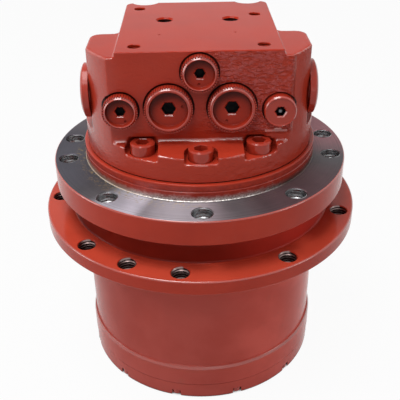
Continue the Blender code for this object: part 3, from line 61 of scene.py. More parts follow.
class Nodes:
    # a node tree, with short ways to add to it

    def __init__(self, tree):
        self.tree = tree

    def feed(self, made, values):
        # each value is another node's socket, to be linked, or a constant
        for key, value in values.items():
            socket = made.inputs[key]
            if isinstance(value, bpy.types.NodeSocket):
                self.tree.links.new(value, socket)
            elif socket.type == "RGBA":
                socket.default_value = (*value, 1)
            else:
                socket.default_value = value

    def add(self, kind, values=None, **settings):
        made = self.tree.nodes.new(kind)
        for key, value in settings.items():
            setattr(made, key, value)
        self.feed(made, values or {})
        return made

    def calc(self, operation, a, b=None, clamp=False):
        values = {0: a} if b is None else {0: a, 1: b}
        return self.add("ShaderNodeMath", values, operation=operation, use_clamp=clamp).outputs[0]

    def times(self, *factors):
        product = factors[0]
        for factor in factors[1:]:
            product = self.calc("MULTIPLY", product, factor)
        return product

    def less(self, a, b, clamp=False):
        return self.calc("SUBTRACT", a, b, clamp)

    def ramp(self, value, low, high, first=0.0, last=1.0):
        values = {"Value": value, "From Min": low, "From Max": high, "To Min": first, "To Max": last}
        return self.add("ShaderNodeMapRange", values, interpolation_type="SMOOTHSTEP").outputs[0]

    def mix(self, factor, a, b, blend="MIX"):
        made = self.add("ShaderNodeMix", data_type="RGBA", blend_type=blend)
        self.feed(made, {0: factor, 6: a, 7: b})
        return made.outputs[2]

    def noise(self, place, scale, detail, roughness=0.5, distortion=0.0):
        values = {"Vector": place, "Scale": scale, "Detail": detail, "Roughness": roughness,
                  "Distortion": distortion}
        return self.add("ShaderNodeTexNoise", values).outputs["Fac"]

    def split(self, vector):
        return self.add("ShaderNodeSeparateXYZ", {0: vector}).outputs

    def join(self, **parts):
        return self.add("ShaderNodeCombineXYZ", parts).outputs[0]

    def openness(self, distance, samples, **values):
        made = self.add("ShaderNodeAmbientOcclusion", {"Distance": distance, **values}, samples=samples)
        return made.outputs["AO"]

    def bumps(self, *steps):
        normal = None
        for height, strength, distance in steps:
            values = {"Height": height, "Strength": strength, "Distance": distance}
            if normal is not None:
                values["Normal"] = normal
            normal = self.add("ShaderNodeBump", values).outputs[0]
        return normal


def newMaterial(name):
    material = bpy.data.materials.new(name)
    material.use_nodes = True
    nodes = Nodes(material.node_tree)
    shader = material.node_tree.nodes["Principled BSDF"]
    return material, nodes, shader, nodes.add("ShaderNodeTexCoord").outputs["Object"]


def scaled(colour, factor):
    return tuple(min(1.0, part * factor) for part in colour)


enamel = {
    "red": (0.465, 0.040, 0.018),
    "topRed": (0.475, 0.026, 0.006),
    "fastenerRed": (0.430, 0.036, 0.017),
    # a darker copy of the red for the neck under the frame flange: painted shade
    "paintedShadeNeckRed": (0.180, 0.014, 0.008),
    # a lighter copy of the red for the sprocket flange's top: painted light
    "paintedLightLedgeRed": (0.580, 0.068, 0.035),
    # a paler copy of the red for the case: painted reflection
    "paintedReflectionCaseRed": (0.510, 0.089, 0.068),
    # a lighter copy of the red for the neck's right side: painted light
    "paintedLightNeckRed": (0.560, 0.043, 0.028),
    # a lighter copy of the red for the case's right side: painted light
    "paintedLightCaseRed": (0.700, 0.112, 0.082),
    "deepRed": (0.33, 0.025, 0.013),
    "rimShadow": (0.020, 0.002, 0.001),
    "dust": (0.34, 0.10, 0.07),
    # a lighter pink for the crests of wrinkles: painted highlight
    "crestHighlight": (0.56, 0.15, 0.15),
    "roughness": (0.12, 0.22),
    "coatRoughness": 0.08,
    "patchScale": 28, "patchShare": 0.35, "dustScale": 95, "roughScale": 60,
    "peelScale": 760, "peelDepth": 0.00012,
    "castScale": 380, "castStretch": (0.75, 1, 1.5), "crestHighlightShare": 0.36,
    # reach and strength of the painted shade in corners
    "cornerShadeReach": 0.005, "cornerShadeShare": 0.45,
    # reach of the painted shadow under plug rims, and the way its search leans
    "rimReach": 0.010, "rimLean": (-0.30, -0.45, 0.84),
    # where the painted light on the right side starts and is full, along X
    "rightPaintedLightRedFrom": 0.0, "rightPaintedLightRedFull": 0.060,
    "sheenFrom": 0.045, "sheenFull": 0.068, "dullFull": 0.066, "dullShare": 0.15,
}

# right half of the block's front face, in metres: where the deep wrinkles start and are full
wrinkles = {"X": (-0.006, 0.018), "Y": (-0.0530, -0.0550), "Z": (0.2005, 0.2040), "least": 0.10}


def wrinkledShare(nodes, place):
    parts = nodes.split(place)
    share = nodes.times(*(nodes.ramp(parts[axis], *wrinkles[axis]) for axis in "XYZ"))
    return nodes.ramp(share, 0.0, 1.0, wrinkles["least"], 1.0)


def redEnamel(name, castDepth=0.0, wrinkled=False, dustAmount=0.12, red="red", specular=0.13, coat=0.07,
              rightPaintedLightRed=None, leftSheen=None, paintedRimShadow=0.0):
    # glossy red paint over metal: orange peel, cast grain, painted shade in corners
    e = enamel
    material, nodes, shader, place = newMaterial(name)
    across = nodes.split(place)["X"]
    base = e[red]
    # painted light: the colour turns lighter towards the right
    if rightPaintedLightRed:
        base = nodes.mix(nodes.ramp(across, e["rightPaintedLightRedFrom"], e["rightPaintedLightRedFull"]), base, e[rightPaintedLightRed])
    patches = nodes.ramp(nodes.noise(place, e["patchScale"], 3), 0.35, 0.75, 0.0, e["patchShare"])
    colour = nodes.mix(patches, base, e["deepRed"])
    if paintedRimShadow:
        # painted shadow: only what lies close below an edge goes dark, so the search leans up and to the
        # left
        lean = nodes.join(**dict(zip("XYZ", e["rimLean"])))
        shaded = nodes.ramp(nodes.openness(e["rimReach"], 8, Normal=lean), 0.25, 0.80, paintedRimShadow, 0.0)
        colour = nodes.mix(shaded, colour, e["rimShadow"])
    # painted shade: the colour darkens in corners and hollows, where the surroundings close in
    cornerShade = nodes.ramp(nodes.openness(e["cornerShadeReach"], 6), 0.30, 0.85, e["cornerShadeShare"], 0.0)
    colour = nodes.mix(cornerShade, colour, scaled(e["deepRed"], 0.45))
    dust = nodes.ramp(nodes.noise(place, e["dustScale"], 6, 0.7), 0.56, 0.80, 0.0, dustAmount)
    colour = nodes.mix(dust, colour, e["dust"])
    steps = [(nodes.noise(place, e["peelScale"], 2, 0.5, 0.3), 0.55, e["peelDepth"])]
    if castDepth:
        values = {0: place, 1: e["castStretch"]}
        ripple = nodes.add("ShaderNodeVectorMath", values, operation="MULTIPLY").outputs[0]
        grain = nodes.noise(ripple, e["castScale"], 3, 0.6, 0.7)
        if wrinkled:
            grain = nodes.times(grain, wrinkledShare(nodes, place))
            # painted highlight: the crests of the wrinkles turn lighter and pinker
            crestHighlight = nodes.ramp(grain, 0.42, 0.62, 0.0, e["crestHighlightShare"])
            colour = nodes.mix(crestHighlight, colour, e["crestHighlight"])
        steps.append((grain, 1.0, castDepth))
    level = specular
    if leftSheen:
        level = nodes.times(nodes.ramp(across, -e["sheenFrom"], -e["sheenFull"], specular, leftSheen),
                            nodes.ramp(across, e["sheenFrom"], e["dullFull"], 1.0, e["dullShare"]))
    nodes.feed(shader, {
        "Base Color": colour, "Specular IOR Level": level, "Coat Weight": coat,
        "Roughness": nodes.ramp(nodes.noise(place, e["roughScale"], 4), 0.3, 0.7, *e["roughness"]),
        "Coat Roughness": e["coatRoughness"], "Normal": nodes.bumps(*steps)})
    return material


# painted reflections around the frame flange, lighter and darker streaks: azimuth from the front, half width
# in degrees, and the colour that multiplies the base metal
flangePaintedReflections = (
    (-33, 12, (3.30, 3.50, 3.60)),
    (-14, 28, (1.65, 1.60, 1.63)),
    (10, 16, (1.55, 1.45, 1.45)),
    (45, 32, (1.15, 0.74, 0.76)),
    (112, 38, (3.00, 1.60, 1.65)),
    (-80, 36, (1.02, 1.05, 1.22)),
    (-135, 34, (1.80, 1.75, 1.80)),
)

# rusty specks round the pilot's foot, in metres: how far out, and how they fade to the right
stains = {
    "colour": (0.29, 0.20, 0.07), "scale": 480, "share": 0.85, "outFrom": 0.0850, "outTo": 0.0940,
    "fadeFrom": -0.020, "fadeTo": 0.010, "least": 0.15,
}

lathe = {"ringScale": 12000, "ringDepth": 0.00001, "bandScale": 900, "cloudScale": 45,
         "cloudDepth": 0.00003}


def turnedSteel(name, base, roughness, anisotropy=0.55, stained=False, paintedReflections=()):
    # faced on a lathe: fine rings, a soft radial sheen, a little staining, and painted reflections round the
    # face where given
    material, nodes, shader, place = newMaterial(name)
    parts = nodes.split(place)
    x2, y2 = (nodes.times(parts[axis], parts[axis]) for axis in "XY")
    radius = nodes.calc("SQRT", nodes.calc("ADD", x2, y2))
    rings = nodes.calc("SINE", nodes.times(radius, lathe["ringScale"]))
    bands = nodes.noise(nodes.join(X=radius), lathe["bandScale"], 4, 0.7)
    cloud = nodes.noise(place, lathe["cloudScale"], 5, 0.6)
    dark = scaled(base, 0.62)
    colour = nodes.mix(nodes.ramp(bands, 0.3, 0.7), dark, scaled(base, 1.25))
    colour = nodes.mix(nodes.ramp(cloud, 0.42, 0.75, 0.0, 0.55), colour, dark)
    # painted reflection: the metal turns lighter or darker by azimuth round the face
    for azimuth, halfWidth, reflectionTint in paintedReflections:
        toX, toY = atAngle(1.0, azimuth)
        along = nodes.calc("ADD", nodes.times(parts["X"], toX), nodes.times(parts["Y"], toY))
        nearness = nodes.calc("DIVIDE", along, radius)
        share = nodes.ramp(nearness, math.cos(math.radians(halfWidth)), 1.0)
        colour = nodes.mix(share, colour, reflectionTint, "MULTIPLY")
    metallic = 1.0
    if stained:
        specks = nodes.ramp(nodes.noise(place, stains["scale"], 5, 0.8), 0.53, 0.62)
        nearPilot = nodes.ramp(radius, stains["outFrom"], stains["outTo"], 1.0, 0.0)
        leftOnly = nodes.ramp(parts["X"], stains["fadeFrom"], stains["fadeTo"], 1.0, stains["least"])
        amount = nodes.times(specks, nearPilot, leftOnly, stains["share"])
        colour = nodes.mix(amount, colour, stains["colour"])
        metallic = nodes.less(1.0, amount, True)
    nodes.feed(shader, {
        "Base Color": colour, "Metallic": metallic,
        "Roughness": nodes.ramp(bands, 0.25, 0.75, roughness * 0.85, roughness * 1.3),
        "Anisotropic": anisotropy, "Anisotropic Rotation": 0.25,
        "Tangent": nodes.add("ShaderNodeTangent", direction_type="RADIAL", axis="Z").outputs[0],
        "Normal": nodes.bumps((rings, 0.35, lathe["ringDepth"]), (cloud, 0.3, lathe["cloudDepth"]))})
    return material


# bare metal at the pilot's foot, under red mist, darker to the right as painted reflection; heights and
# distances in metres
overspray = {
    "from": 0.1692, "full": 0.1750, "ragged": 0.0060, "darkMetal": (0.32, 0.29, 0.27),
    "paleMetal": (0.92, 0.90, 0.87), "paintedDarkReflection": (0.030, 0.022, 0.016), "paintedDarkReflectionX": (0.020, 0.060, 0.0, 0.93),
    "rust": (0.30, 0.17, 0.05), "rustX": (-0.025, -0.060, 0.0, 0.95),
}


def oversprayedPilot(name):
    # red mist that thins out towards the foot, bare metal below it
    o = overspray
    material, nodes, shader, place = newMaterial(name)
    parts = nodes.split(place)
    ragged = nodes.noise(place, 260, 6, 0.75)
    height = nodes.calc("ADD", parts["Z"], nodes.times(ragged, o["ragged"]))
    paint = nodes.ramp(height, o["from"], o["full"])
    fine = nodes.ramp(nodes.noise(place, 900, 3, 0.7), 0.35, 0.65)
    metal = nodes.mix(fine, o["darkMetal"], o["paleMetal"])
    # painted reflection: the bare metal darkens towards the right
    metal = nodes.mix(nodes.ramp(parts["X"], *o["paintedDarkReflectionX"]), metal, o["paintedDarkReflection"])
    metal = nodes.mix(nodes.times(nodes.ramp(parts["X"], *o["rustX"]), fine), metal, o["rust"])
    red = nodes.mix(nodes.ramp(ragged, 0.3, 0.7), enamel["red"], enamel["deepRed"])
    nodes.feed(shader, {
        "Base Color": nodes.mix(paint, metal, red),
        "Metallic": nodes.less(1.0, paint, True),
        "Roughness": nodes.ramp(paint, 0, 1, 0.48, 0.24),
        "Normal": nodes.bumps((nodes.noise(place, 700, 3), 0.4, 0.00006))})
    return material


def plainMetal(name, base, roughness, metallic=1.0, grain=350, depth=0.00003, dark=0.6, specular=0.5):
    material, nodes, shader, place = newMaterial(name)
    cloud = nodes.noise(place, grain * 0.16, 4, 0.6)
    fine = nodes.noise(place, grain, 4, 0.65)
    nodes.feed(shader, {
        "Base Color": nodes.mix(nodes.ramp(cloud, 0.3, 0.75), base, scaled(base, dark)),
        "Metallic": metallic, "Specular IOR Level": specular,
        "Roughness": nodes.ramp(fine, 0.3, 0.7, roughness * 0.8, min(1.0, roughness * 1.25)),
        "Normal": nodes.bumps((fine, 0.4, depth))})
    return material


enamelKinds = {
    # the case: a paler red as painted reflection, lighter to the right as painted light
    "case": dict(castDepth=0.00004, dustAmount=0.30, red="paintedReflectionCaseRed", specular=0.06, coat=0.02,
                 rightPaintedLightRed="paintedLightCaseRed"),
    "rim": dict(castDepth=0.00004, dustAmount=0.24, specular=0.11),
    # the sprocket flange's top face: painted light
    "ledge": dict(dustAmount=0.05, red="paintedLightLedgeRed"),
    # the neck under the frame flange: painted shade, lighter to the right as painted light
    "neck": dict(dustAmount=0.04, red="paintedShadeNeckRed", specular=0.06, coat=0.03, rightPaintedLightRed="paintedLightNeckRed"),
    "edge": dict(dustAmount=0.0, specular=0.75, coat=0.6),
    "casting": dict(castDepth=0.0026, wrinkled=True, leftSheen=0.5),
    "machined": dict(dustAmount=0.04, red="topRed", specular=0.05),
    "fastener": dict(dustAmount=0.16, red="fastenerRed", specular=0.25, coat=0.2),
    # plug dishes: painted shadow under their upper rims
    "dish": dict(dustAmount=0.06, red="fastenerRed", specular=0.08, coat=0.05, paintedRimShadow=0.85),
}
finish = {kind: redEnamel(kind + "Enamel", **values) for kind, values in enamelKinds.items()}
finish.update({
    # near black for the deep walls of hexagon sockets: painted shade
    "socketShade": plainMetal("paintedSocketShade", (0.006, 0.005, 0.006), 0.6, metallic=0.0, specular=0.1),
    # near black for the walls of gaps, holes and recesses: painted shade
    "recess": plainMetal("paintedShadeGap", (0.030, 0.006, 0.005), 0.6, metallic=0.0, specular=0.1),
    "flangeFace": turnedSteel("flangeSteel", (0.128, 0.117, 0.126), 0.52, anisotropy=0.97,
                              stained=True, paintedReflections=flangePaintedReflections),
    "pilot": oversprayedPilot("pilotOverspray"),
    "thread": plainMetal("threadSteel", (0.42, 0.42, 0.43), 0.26),
    "dullThread": plainMetal("dullThreadSteel", (0.27, 0.19, 0.18), 0.36),
    "ground": plainMetal("groundSteel", (0.60, 0.61, 0.62), 0.22, grain=900, dark=0.85),
    "turned": turnedSteel("turnedSteel", (0.46, 0.46, 0.47), 0.32),
    "iron": plainMetal("greyIron", (0.20, 0.20, 0.21), 0.55, metallic=0.8, depth=0.00008),
    "bronze": plainMetal("bearingBronze", (0.56, 0.36, 0.15), 0.34, dark=0.75),
    "rubber": plainMetal("sealRubber", (0.020, 0.020, 0.021), 0.7, metallic=0.0),
    "gasket": plainMetal("gasketFibre", (0.014, 0.009, 0.008), 0.9, metallic=0.0, specular=0.03),
    "lining": plainMetal("frictionLining", (0.12, 0.10, 0.09), 0.85, metallic=0.0, depth=0.0001),
})
print("finishes ready,", len(finish))


# mesh helpers

def link(name, data):
    made = bpy.data.objects.new(name, data)
    bpy.context.scene.collection.objects.link(made)
    return made


def meshFrom(shape, name):
    bmesh.ops.recalc_face_normals(shape, faces=shape.faces)
    mesh = bpy.data.meshes.new(name)
    shape.to_mesh(mesh)
    shape.free()
    return mesh


def filletedOutline(corners, supports, steps):
    # corners of a closed outline in mm, (r, z, fillet); straight runs keep a support near each end
    points = []
    count = len(corners)
    for i in range(count):
        before, here, after = (Vector(corners[j % count][:2]) for j in (i - 1, i, i + 1))
        radius = corners[i][2]
        if not radius:
            points.append(here)
            continue
        back, ahead = before - here, after - here
        half = back.angle(ahead) / 2
        room = min(back.length, ahead.length) * 0.48
        reach = min(radius / math.tan(half), room)
        radius = reach * math.tan(half)
        longBack, longAhead = (side.length > reach * 2 + supports * 3 for side in (back, ahead))
        back.normalize()
        ahead.normalize()
        centre = here + (back + ahead).normalized() * (radius / math.sin(half))
        first, last = here + back * reach, here + ahead * reach
        if longBack:
            points.append(first + back * supports)
        a, b = first - centre, last - centre
        turn = a.angle_signed(b)
        for k in range(steps + 1):
            angle = turn * k / steps
            cos, sin = math.cos(angle), math.sin(angle)
            points.append(centre + Vector((a.x * cos + a.y * sin, -a.x * sin + a.y * cos)))
        if longAhead:
            points.append(last + ahead * supports)
    return points


def stairs(z, walls):
    # outline corners of upright walls in a row: radius, height reached, fillets at start and end
    corners = []
    for radius, reached, first, last in walls:
        corners += [(radius, z, first), (radius, reached, last)]
        z = reached
    return corners


def addLathe(shape, outline, segments, place=None):
    # turns an outline in mm, (r, z), round Z; the matrix then moves it to its place
    angles = [2 * math.pi * i / segments for i in range(segments)]
    rings = []
    for r, z in outline:
        spots = [(r * mm * math.cos(angle), r * mm * math.sin(angle)) for angle in angles]
        rings.append([shape.verts.new((x, y, z * mm)) for x, y in (spots if r > 1e-6 else [(0, 0)])])
    for low, high in zip(rings, rings[1:] + rings[:1]):
        if len(low) == 1 and len(high) == 1:
            continue
        for i in range(segments):
            j = (i + 1) % segments
            corners = [low[i % len(low)], low[j % len(low)], high[j % len(high)], high[i % len(high)]]
            shape.faces.new(list(dict.fromkeys(corners)))
    if place is not None:
        bmesh.ops.transform(shape, matrix=place, verts=[corner for ring in rings for corner in ring])


def latheMesh(name, corners, segments, supports=0.35, steps=5):
    shape = bmesh.new()
    addLathe(shape, filletedOutline(corners, supports, steps), segments)
    return meshFrom(shape, name)


def upright(x, y):
    return Matrix.Translation((x * mm, y * mm, 0))


turnOf = {"-Y": (90, "X"), "+X": (90, "Y"), "-X": (-90, "Y")}


def turnMatrix(direction, origin):
    degrees, axis = turnOf[direction]
    return Matrix.Translation(Vector(origin) * mm) @ Matrix.Rotation(math.radians(degrees), 4, axis)


def column(radius, low, high):
    return [(0, high), (radius, high), (radius, low), (0, low)]


def addColumns(shape, spots, radius, low, high, segments):
    for x, y in spots:
        addLathe(shape, column(radius, low, high), segments, upright(x, y))


# how far a drill starts off the face, in mm, and its point's length over its radius
drill = {"over": 1.5, "point": 0.55}


def addDrill(shape, x, y, radius, low, high, chamfer=0.0, openLow=False, facets=48):
    # an upright drill with a countersink at its mouth, and below as well where it comes out
    over = drill["over"]
    wide = radius + chamfer + over if chamfer else radius
    outline = [(0, high + over), (wide, high + over), (radius, high - chamfer if chamfer else high + over)]
    if openLow:
        outline += [(radius, low + chamfer), (wide, low - over), (0, low - over)]
    else:
        outline += [(radius, low), (0, low - radius * drill["point"])]
    addLathe(shape, list(dict.fromkeys(outline)), facets, upright(x, y))


def rectangle(left, right, front, back):
    return [(left, front), (right, front), (right, back), (left, back)]


def addPrism(shape, outline, low, high, inset=0.0, insetHigh=0.0):
    # an upright prism through the outline (mm), which may draw in towards its top
    count = len(outline)
    rings = []
    for z, pull in ((low, inset), (high, insetHigh)):
        ring = []
        for i in range(count):
            before, here, after = (Vector(outline[j % count]) for j in (i - 1, i, i + 1))
            a, b = (here - before).normalized(), (after - here).normalized()
            side = Vector((-a.y, a.x)) + Vector((-b.y, b.x))
            length = max(0.3, side.length_squared / 2)
            spot = here + side * (pull / length)
            ring.append(shape.verts.new((spot.x * mm, spot.y * mm, z * mm)))
        rings.append(ring)
    bridge(shape, *rings)


def bridge(shape, lower, upper):
    shape.faces.new(list(reversed(lower)))
    shape.faces.new(upper)
    for i in range(len(lower)):
        j = (i + 1) % len(lower)
        shape.faces.new([lower[i], lower[j], upper[j], upper[i]])


def evaluatedMesh(piece, name):
    bpy.context.view_layer.update()
    graph = bpy.context.evaluated_depsgraph_get()
    mesh = bpy.data.meshes.new_from_object(piece.evaluated_get(graph))
    mesh.name = name
    return mesh


def cutAway(mesh, *cutters, operation="DIFFERENCE"):
    # takes each cutter, a mesh or a shape in the making, out of the mesh in turn
    base = link("work", mesh)
    helpers = []
    for cutter in cutters:
        tool = cutter if isinstance(cutter, bpy.types.Mesh) else meshFrom(cutter, "cutter")
        helpers.append(link("cutter", tool))
        modifier = base.modifiers.new("cut", "BOOLEAN")
        modifier.operation = operation
        modifier.solver = "EXACT"
        modifier.object = helpers[-1]
    result = evaluatedMesh(base, mesh.name)
    for helper in helpers + [base]:
        old = helper.data
        bpy.data.objects.remove(helper)
        bpy.data.meshes.remove(old)
    return result


def finished(name, mesh, body, *nodes, slot="red_paint", coat=None, degrees=32):
    # a finished piece: shaded, painted, on its body, standing for its CAD nodes
    mesh.name = name
    mesh.shade_smooth()
    mesh.set_sharp_from_angle(angle=math.radians(degrees))
    if coat:
        mesh.materials.clear()
        mesh.materials.append(finish[coat])
    piece = link(name, mesh)
    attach(piece, body)
    if nodes:
        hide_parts(*nodes)
    return piece


def paintFaces(mesh, coats, choose):
    # choose names the coat of a face, from its centre and normal in mm
    mesh.materials.clear()
    for coat in coats:
        mesh.materials.append(finish[coat])
    for face in mesh.polygons:
        face.material_index = coats.index(choose(face.center / mm, face.normal))


def nearAny(x, y, circles, margin):
    # whether a spot is within one of the circles (x, y, radius), or this far outside it
    return any(math.hypot(x - cx, y - cy) < radius + margin for cx, cy, radius in circles)


# geometry node trees

class GeometryNodes(Nodes):
    # the steps that the geometry trees share

    def make(self, kind, values=None, **settings):
        return self.add("GeometryNode" + kind, values, **settings).outputs[0]

    def moved(self, geometry, **changes):
        return self.make("Transform", {"Geometry": geometry, **changes})

    def raised(self, geometry, height):
        return self.moved(geometry, Translation=self.join(Z=height))

    def joined(self, parts):
        made = self.tree.nodes.new("GeometryNodeJoinGeometry")
        for part in parts:
            self.tree.links.new(part, made.inputs[0])
        return made.outputs[0]

    def cone(self, sides, top, bottom, tall):
        # an open cone from a top ring to a bottom ring, each a radius and a height
        values = {"Vertices": sides, "Radius Top": top[0], "Radius Bottom": bottom[0], "Depth": tall}
        return self.raised(self.make("MeshCone", values, fill_type="NONE"), bottom[1])

    def atPoints(self, points, instance, **changes):
        return self.make("InstanceOnPoints", {"Points": points, "Instance": instance, **changes})

    def close(self, geometry, material):
        real = self.make("RealizeInstances", {0: geometry})
        painted = self.make("SetMaterial", {"Geometry": real, "Material": material})
        self.tree.links.new(painted, self.tree.nodes.new("NodeGroupOutput").inputs[0])


def newGeometryTree(name, sizes):
    tree = bpy.data.node_groups.new(name, "GeometryNodeTree")
    tree.interface.new_socket("Geometry", in_out="INPUT", socket_type="NodeSocketGeometry")
    tree.interface.new_socket("Geometry", in_out="OUTPUT", socket_type="NodeSocketGeometry")
    kinds = {int: "NodeSocketInt", float: "NodeSocketFloat"}
    keys = {}
    for label, value in {**sizes, "Material": None}.items():
        kind = kinds.get(type(value), "NodeSocketMaterial")
        socket = tree.interface.new_socket(label, in_out="INPUT", socket_type=kind)
        if value is not None:
            socket.default_value = value
        keys[label] = socket.identifier
    return GeometryNodes(tree), keys, tree.nodes.new("NodeGroupInput").outputs


# the sizes of the trees that are counts, turns or angles
unscaled = ("Count", "Turns", "Flip", "Start")


def grow(name, points, maker, sizes, coat):
    # runs a tree on loose points, and gives the plain mesh that it makes; lengths are in mm
    tree, keys = maker
    mesh = bpy.data.meshes.new("seeds")
    mesh.from_pydata([(x * mm, y * mm, z * mm) for x, y, z in points], [], [])
    seeds = link("seeds", mesh)
    modifier = seeds.modifiers.new("grow", "NODES")
    modifier.node_group = tree
    for label, value in sizes.items():
        modifier[keys[label]] = value if label in unscaled else value * mm
    modifier[keys["Material"]] = finish[coat]
    result = evaluatedMesh(seeds, name)
    bpy.data.objects.remove(seeds)
    bpy.data.meshes.remove(mesh)
    return result


def threadTree():
    # one spiral of triangular thread at each point, hanging down from it
    sizes = {"Radius": 0.006, "Pitch": 0.0015, "Depth": 0.001, "Turns": 8.0}
    nodes, keys, given = newGeometryTree("threadLiner", sizes)
    height = nodes.times(given["Pitch"], given["Turns"])
    spiral = nodes.make("CurveSpiral", {
        "Resolution": 28, "Rotations": given["Turns"], "Start Radius": given["Radius"],
        "End Radius": given["Radius"], "Height": height, "Reverse": False})
    # a circle of three points is the ridge; its radius is two thirds of the triangle's height
    ridge = nodes.make("CurvePrimitiveCircle", {
        "Resolution": 3, "Radius": nodes.times(given["Depth"], 0.667)})
    turned = nodes.moved(ridge, Rotation=(0, 0, math.pi))
    thread = nodes.make("CurveToMesh", {"Curve": spiral, "Profile Curve": turned, "Fill Caps": True})
    lowered = nodes.raised(thread, nodes.times(height, -1.0))
    nodes.close(nodes.atPoints(given["Geometry"], lowered), given["Material"])
    return nodes.tree, keys


# the hexagon's lead-in, the cone under it, the least step and the weld, in metres
screwSteps = {"lead": 0.0004, "drillPoint": 0.0012, "least": 0.000001, "weld": 0.00001, "sides": 40}


def screwTree():
    # socket head screw, drawn in rings: rounded head, flat top with a hexagon, walls and floor
    sizes = {"Head Radius": 0.008, "Head Height": 0.010, "Edge": 0.0008, "Key": 0.008,
             "Socket Depth": 0.0055, "Shank Radius": 0.005, "Shank Length": 0.020, "Flip": 0.0}
    nodes, keys, given = newGeometryTree("socketScrew", sizes)
    head, tall, edge, lead = given["Head Radius"], given["Head Height"], given["Edge"], screwSteps["lead"]
    inner = nodes.less(head, edge)
    hexRadius = nodes.times(given["Key"], 1 / math.sqrt(3))
    mouthRadius = nodes.calc("ADD", hexRadius, lead)
    end = nodes.times(given["Shank Length"], -1.0)
    halfEdge = nodes.times(edge, 0.5)
    rings = [
        (inner, tall), (head, nodes.less(tall, edge)), (head, halfEdge), (nodes.less(head, halfEdge), 0.0),
        (given["Shank Radius"], 0.0), (given["Shank Radius"], end), (lead / 2, end),
    ]
    parts = []
    for top, bottom in zip(rings, rings[1:]):
        depth = nodes.calc("MAXIMUM", nodes.less(top[1], bottom[1]), screwSteps["least"])
        parts.append(nodes.cone(screwSteps["sides"], top, bottom, depth))
    outlines = [nodes.make("CurvePrimitiveCircle", {"Resolution": sides, "Radius": radius})
                for sides, radius in ((screwSteps["sides"], inner), (6, mouthRadius))]
    face = nodes.make("FillCurve", {"Curve": nodes.joined(outlines)})
    parts.append(nodes.raised(face, tall))
    floorHeight = nodes.less(tall, given["Socket Depth"])
    rings = [(mouthRadius, tall), (hexRadius, nodes.less(tall, lead)), (hexRadius, floorHeight),
             (lead / 4, nodes.less(floorHeight, screwSteps["drillPoint"]))]
    for top, bottom in zip(rings, rings[1:]):
        parts.append(nodes.cone(6, top, bottom, nodes.less(top[1], bottom[1])))
    values = {"Geometry": nodes.joined(parts), "Distance": screwSteps["weld"]}
    welded = nodes.make("MergeByDistance", values)
    where = nodes.split(nodes.make("InputPosition"))
    spin = nodes.calc("ARCTAN2", where["Y"], where["X"])
    placed = nodes.atPoints(given["Geometry"], welded, Rotation=nodes.join(X=given["Flip"], Z=spin))
    nodes.close(placed, given["Material"])
    return nodes.tree, keys


def ringTree():
    # small blocks in a ring: knurl ridges on a plug, or the teeth of a ring gear
    sizes = {"Count": 60, "Ring Radius": 0.010, "Long": 0.003, "Wide": 0.0004, "Tip": 0.0002,
             "High": 0.0004, "Start": 0.0}
    nodes, keys, given = newGeometryTree("ridgeRing", sizes)
    values = {"Height": given["High"], "Bottom Width": given["Wide"], "Top Width": given["Tip"],
              "Offset": 0.0}
    face = nodes.make("FillCurve", {"Curve": nodes.make("CurvePrimitiveQuadrilateral", values,
                                                        mode="TRAPEZOID")})
    solid = nodes.make("ExtrudeMesh", {
        "Mesh": face, "Offset": nodes.join(Z=1.0), "Offset Scale": given["Long"], "Individual": False},
        mode="FACES")
    ring = nodes.make("MeshCircle", {"Vertices": given["Count"], "Radius": given["Ring Radius"]})
    step = nodes.calc("DIVIDE", 2 * math.pi, given["Count"])
    angle = nodes.calc("ADD", nodes.times(nodes.make("InputIndex"), step), math.pi / 2)
    placed = nodes.atPoints(ring, nodes.joined([solid, face]), Rotation=nodes.join(Z=angle))
    nodes.close(nodes.moved(placed, Rotation=nodes.join(Z=given["Start"])), given["Material"])
    return nodes.tree, keys


threadMaker = threadTree()
screwMaker = screwTree()
ringMaker = ringTree()


def tidyNormals(mesh):
    shape = bmesh.new()
    shape.from_mesh(mesh)
    bmesh.ops.remove_doubles(shape, verts=shape.verts, dist=1e-6)
    bmesh.ops.recalc_face_normals(shape, faces=shape.faces)
    shape.to_mesh(mesh)
    shape.free()
    return mesh


def makeThreads(name, spots, top, sizes, coat, body, slot="red_paint"):
    seeds = [(x, y, top) for x, y in spots]
    mesh = grow(name, seeds, threadMaker, sizes, coat)
    finished(name, mesh, body, slot=slot, degrees=60)


def makeScrews(name, spots, seat, sizes, body, *nodes):
    seeds = [(x, y, seat) for x, y in spots]
    mesh = tidyNormals(grow(name, seeds, screwMaker, sizes, "fastener"))
    finished(name, mesh, body, *nodes, degrees=40)


def makeRing(name, sizes, coat, place, body, slot="red_paint"):
    mesh = tidyNormals(grow(name, [(0, 0, 0)], ringMaker, sizes, coat))
    mesh.transform(place)
    finished(name, mesh, body, slot=slot)


# how far a thread liner's spiral stands behind the wall of its hole, in mm
threadGap = 0.05


# end cover

cover = {
    "radius": 88.3, "rim": 12.55, "web": 9.0, "webRadius": 66.8, "under": -1.0,
    "spigotOuter": 75.8, "spigotInner": 70.8, "spigotTop": 15.85,
    "screwCircle": 83.7, "screws": 12, "recessRadius": 5.6, "recessDepth": 5.2,
    "plugCircle": 46.0, "plugRecess": 9.6, "plugDepth": 2.2,
    "screw": {"Head Radius": 4.55, "Head Height": 4.0, "Edge": 0.5, "Key": 5.0, "Socket Depth": 2.4,
              "Shank Radius": 2.9, "Shank Length": 8.0, "Flip": math.pi},
    "plug": {"Head Radius": 8.4, "Head Height": 1.9, "Edge": 0.5, "Key": 6.0, "Socket Depth": 1.4,
             "Shank Radius": 6.0, "Shank Length": 4.0, "Flip": math.pi},
}
coverScrewAngles = [(number + 0.54) * 360 / cover["screws"] for number in range(cover["screws"])]
coverScrewSpots = around(cover["screwCircle"], coverScrewAngles)


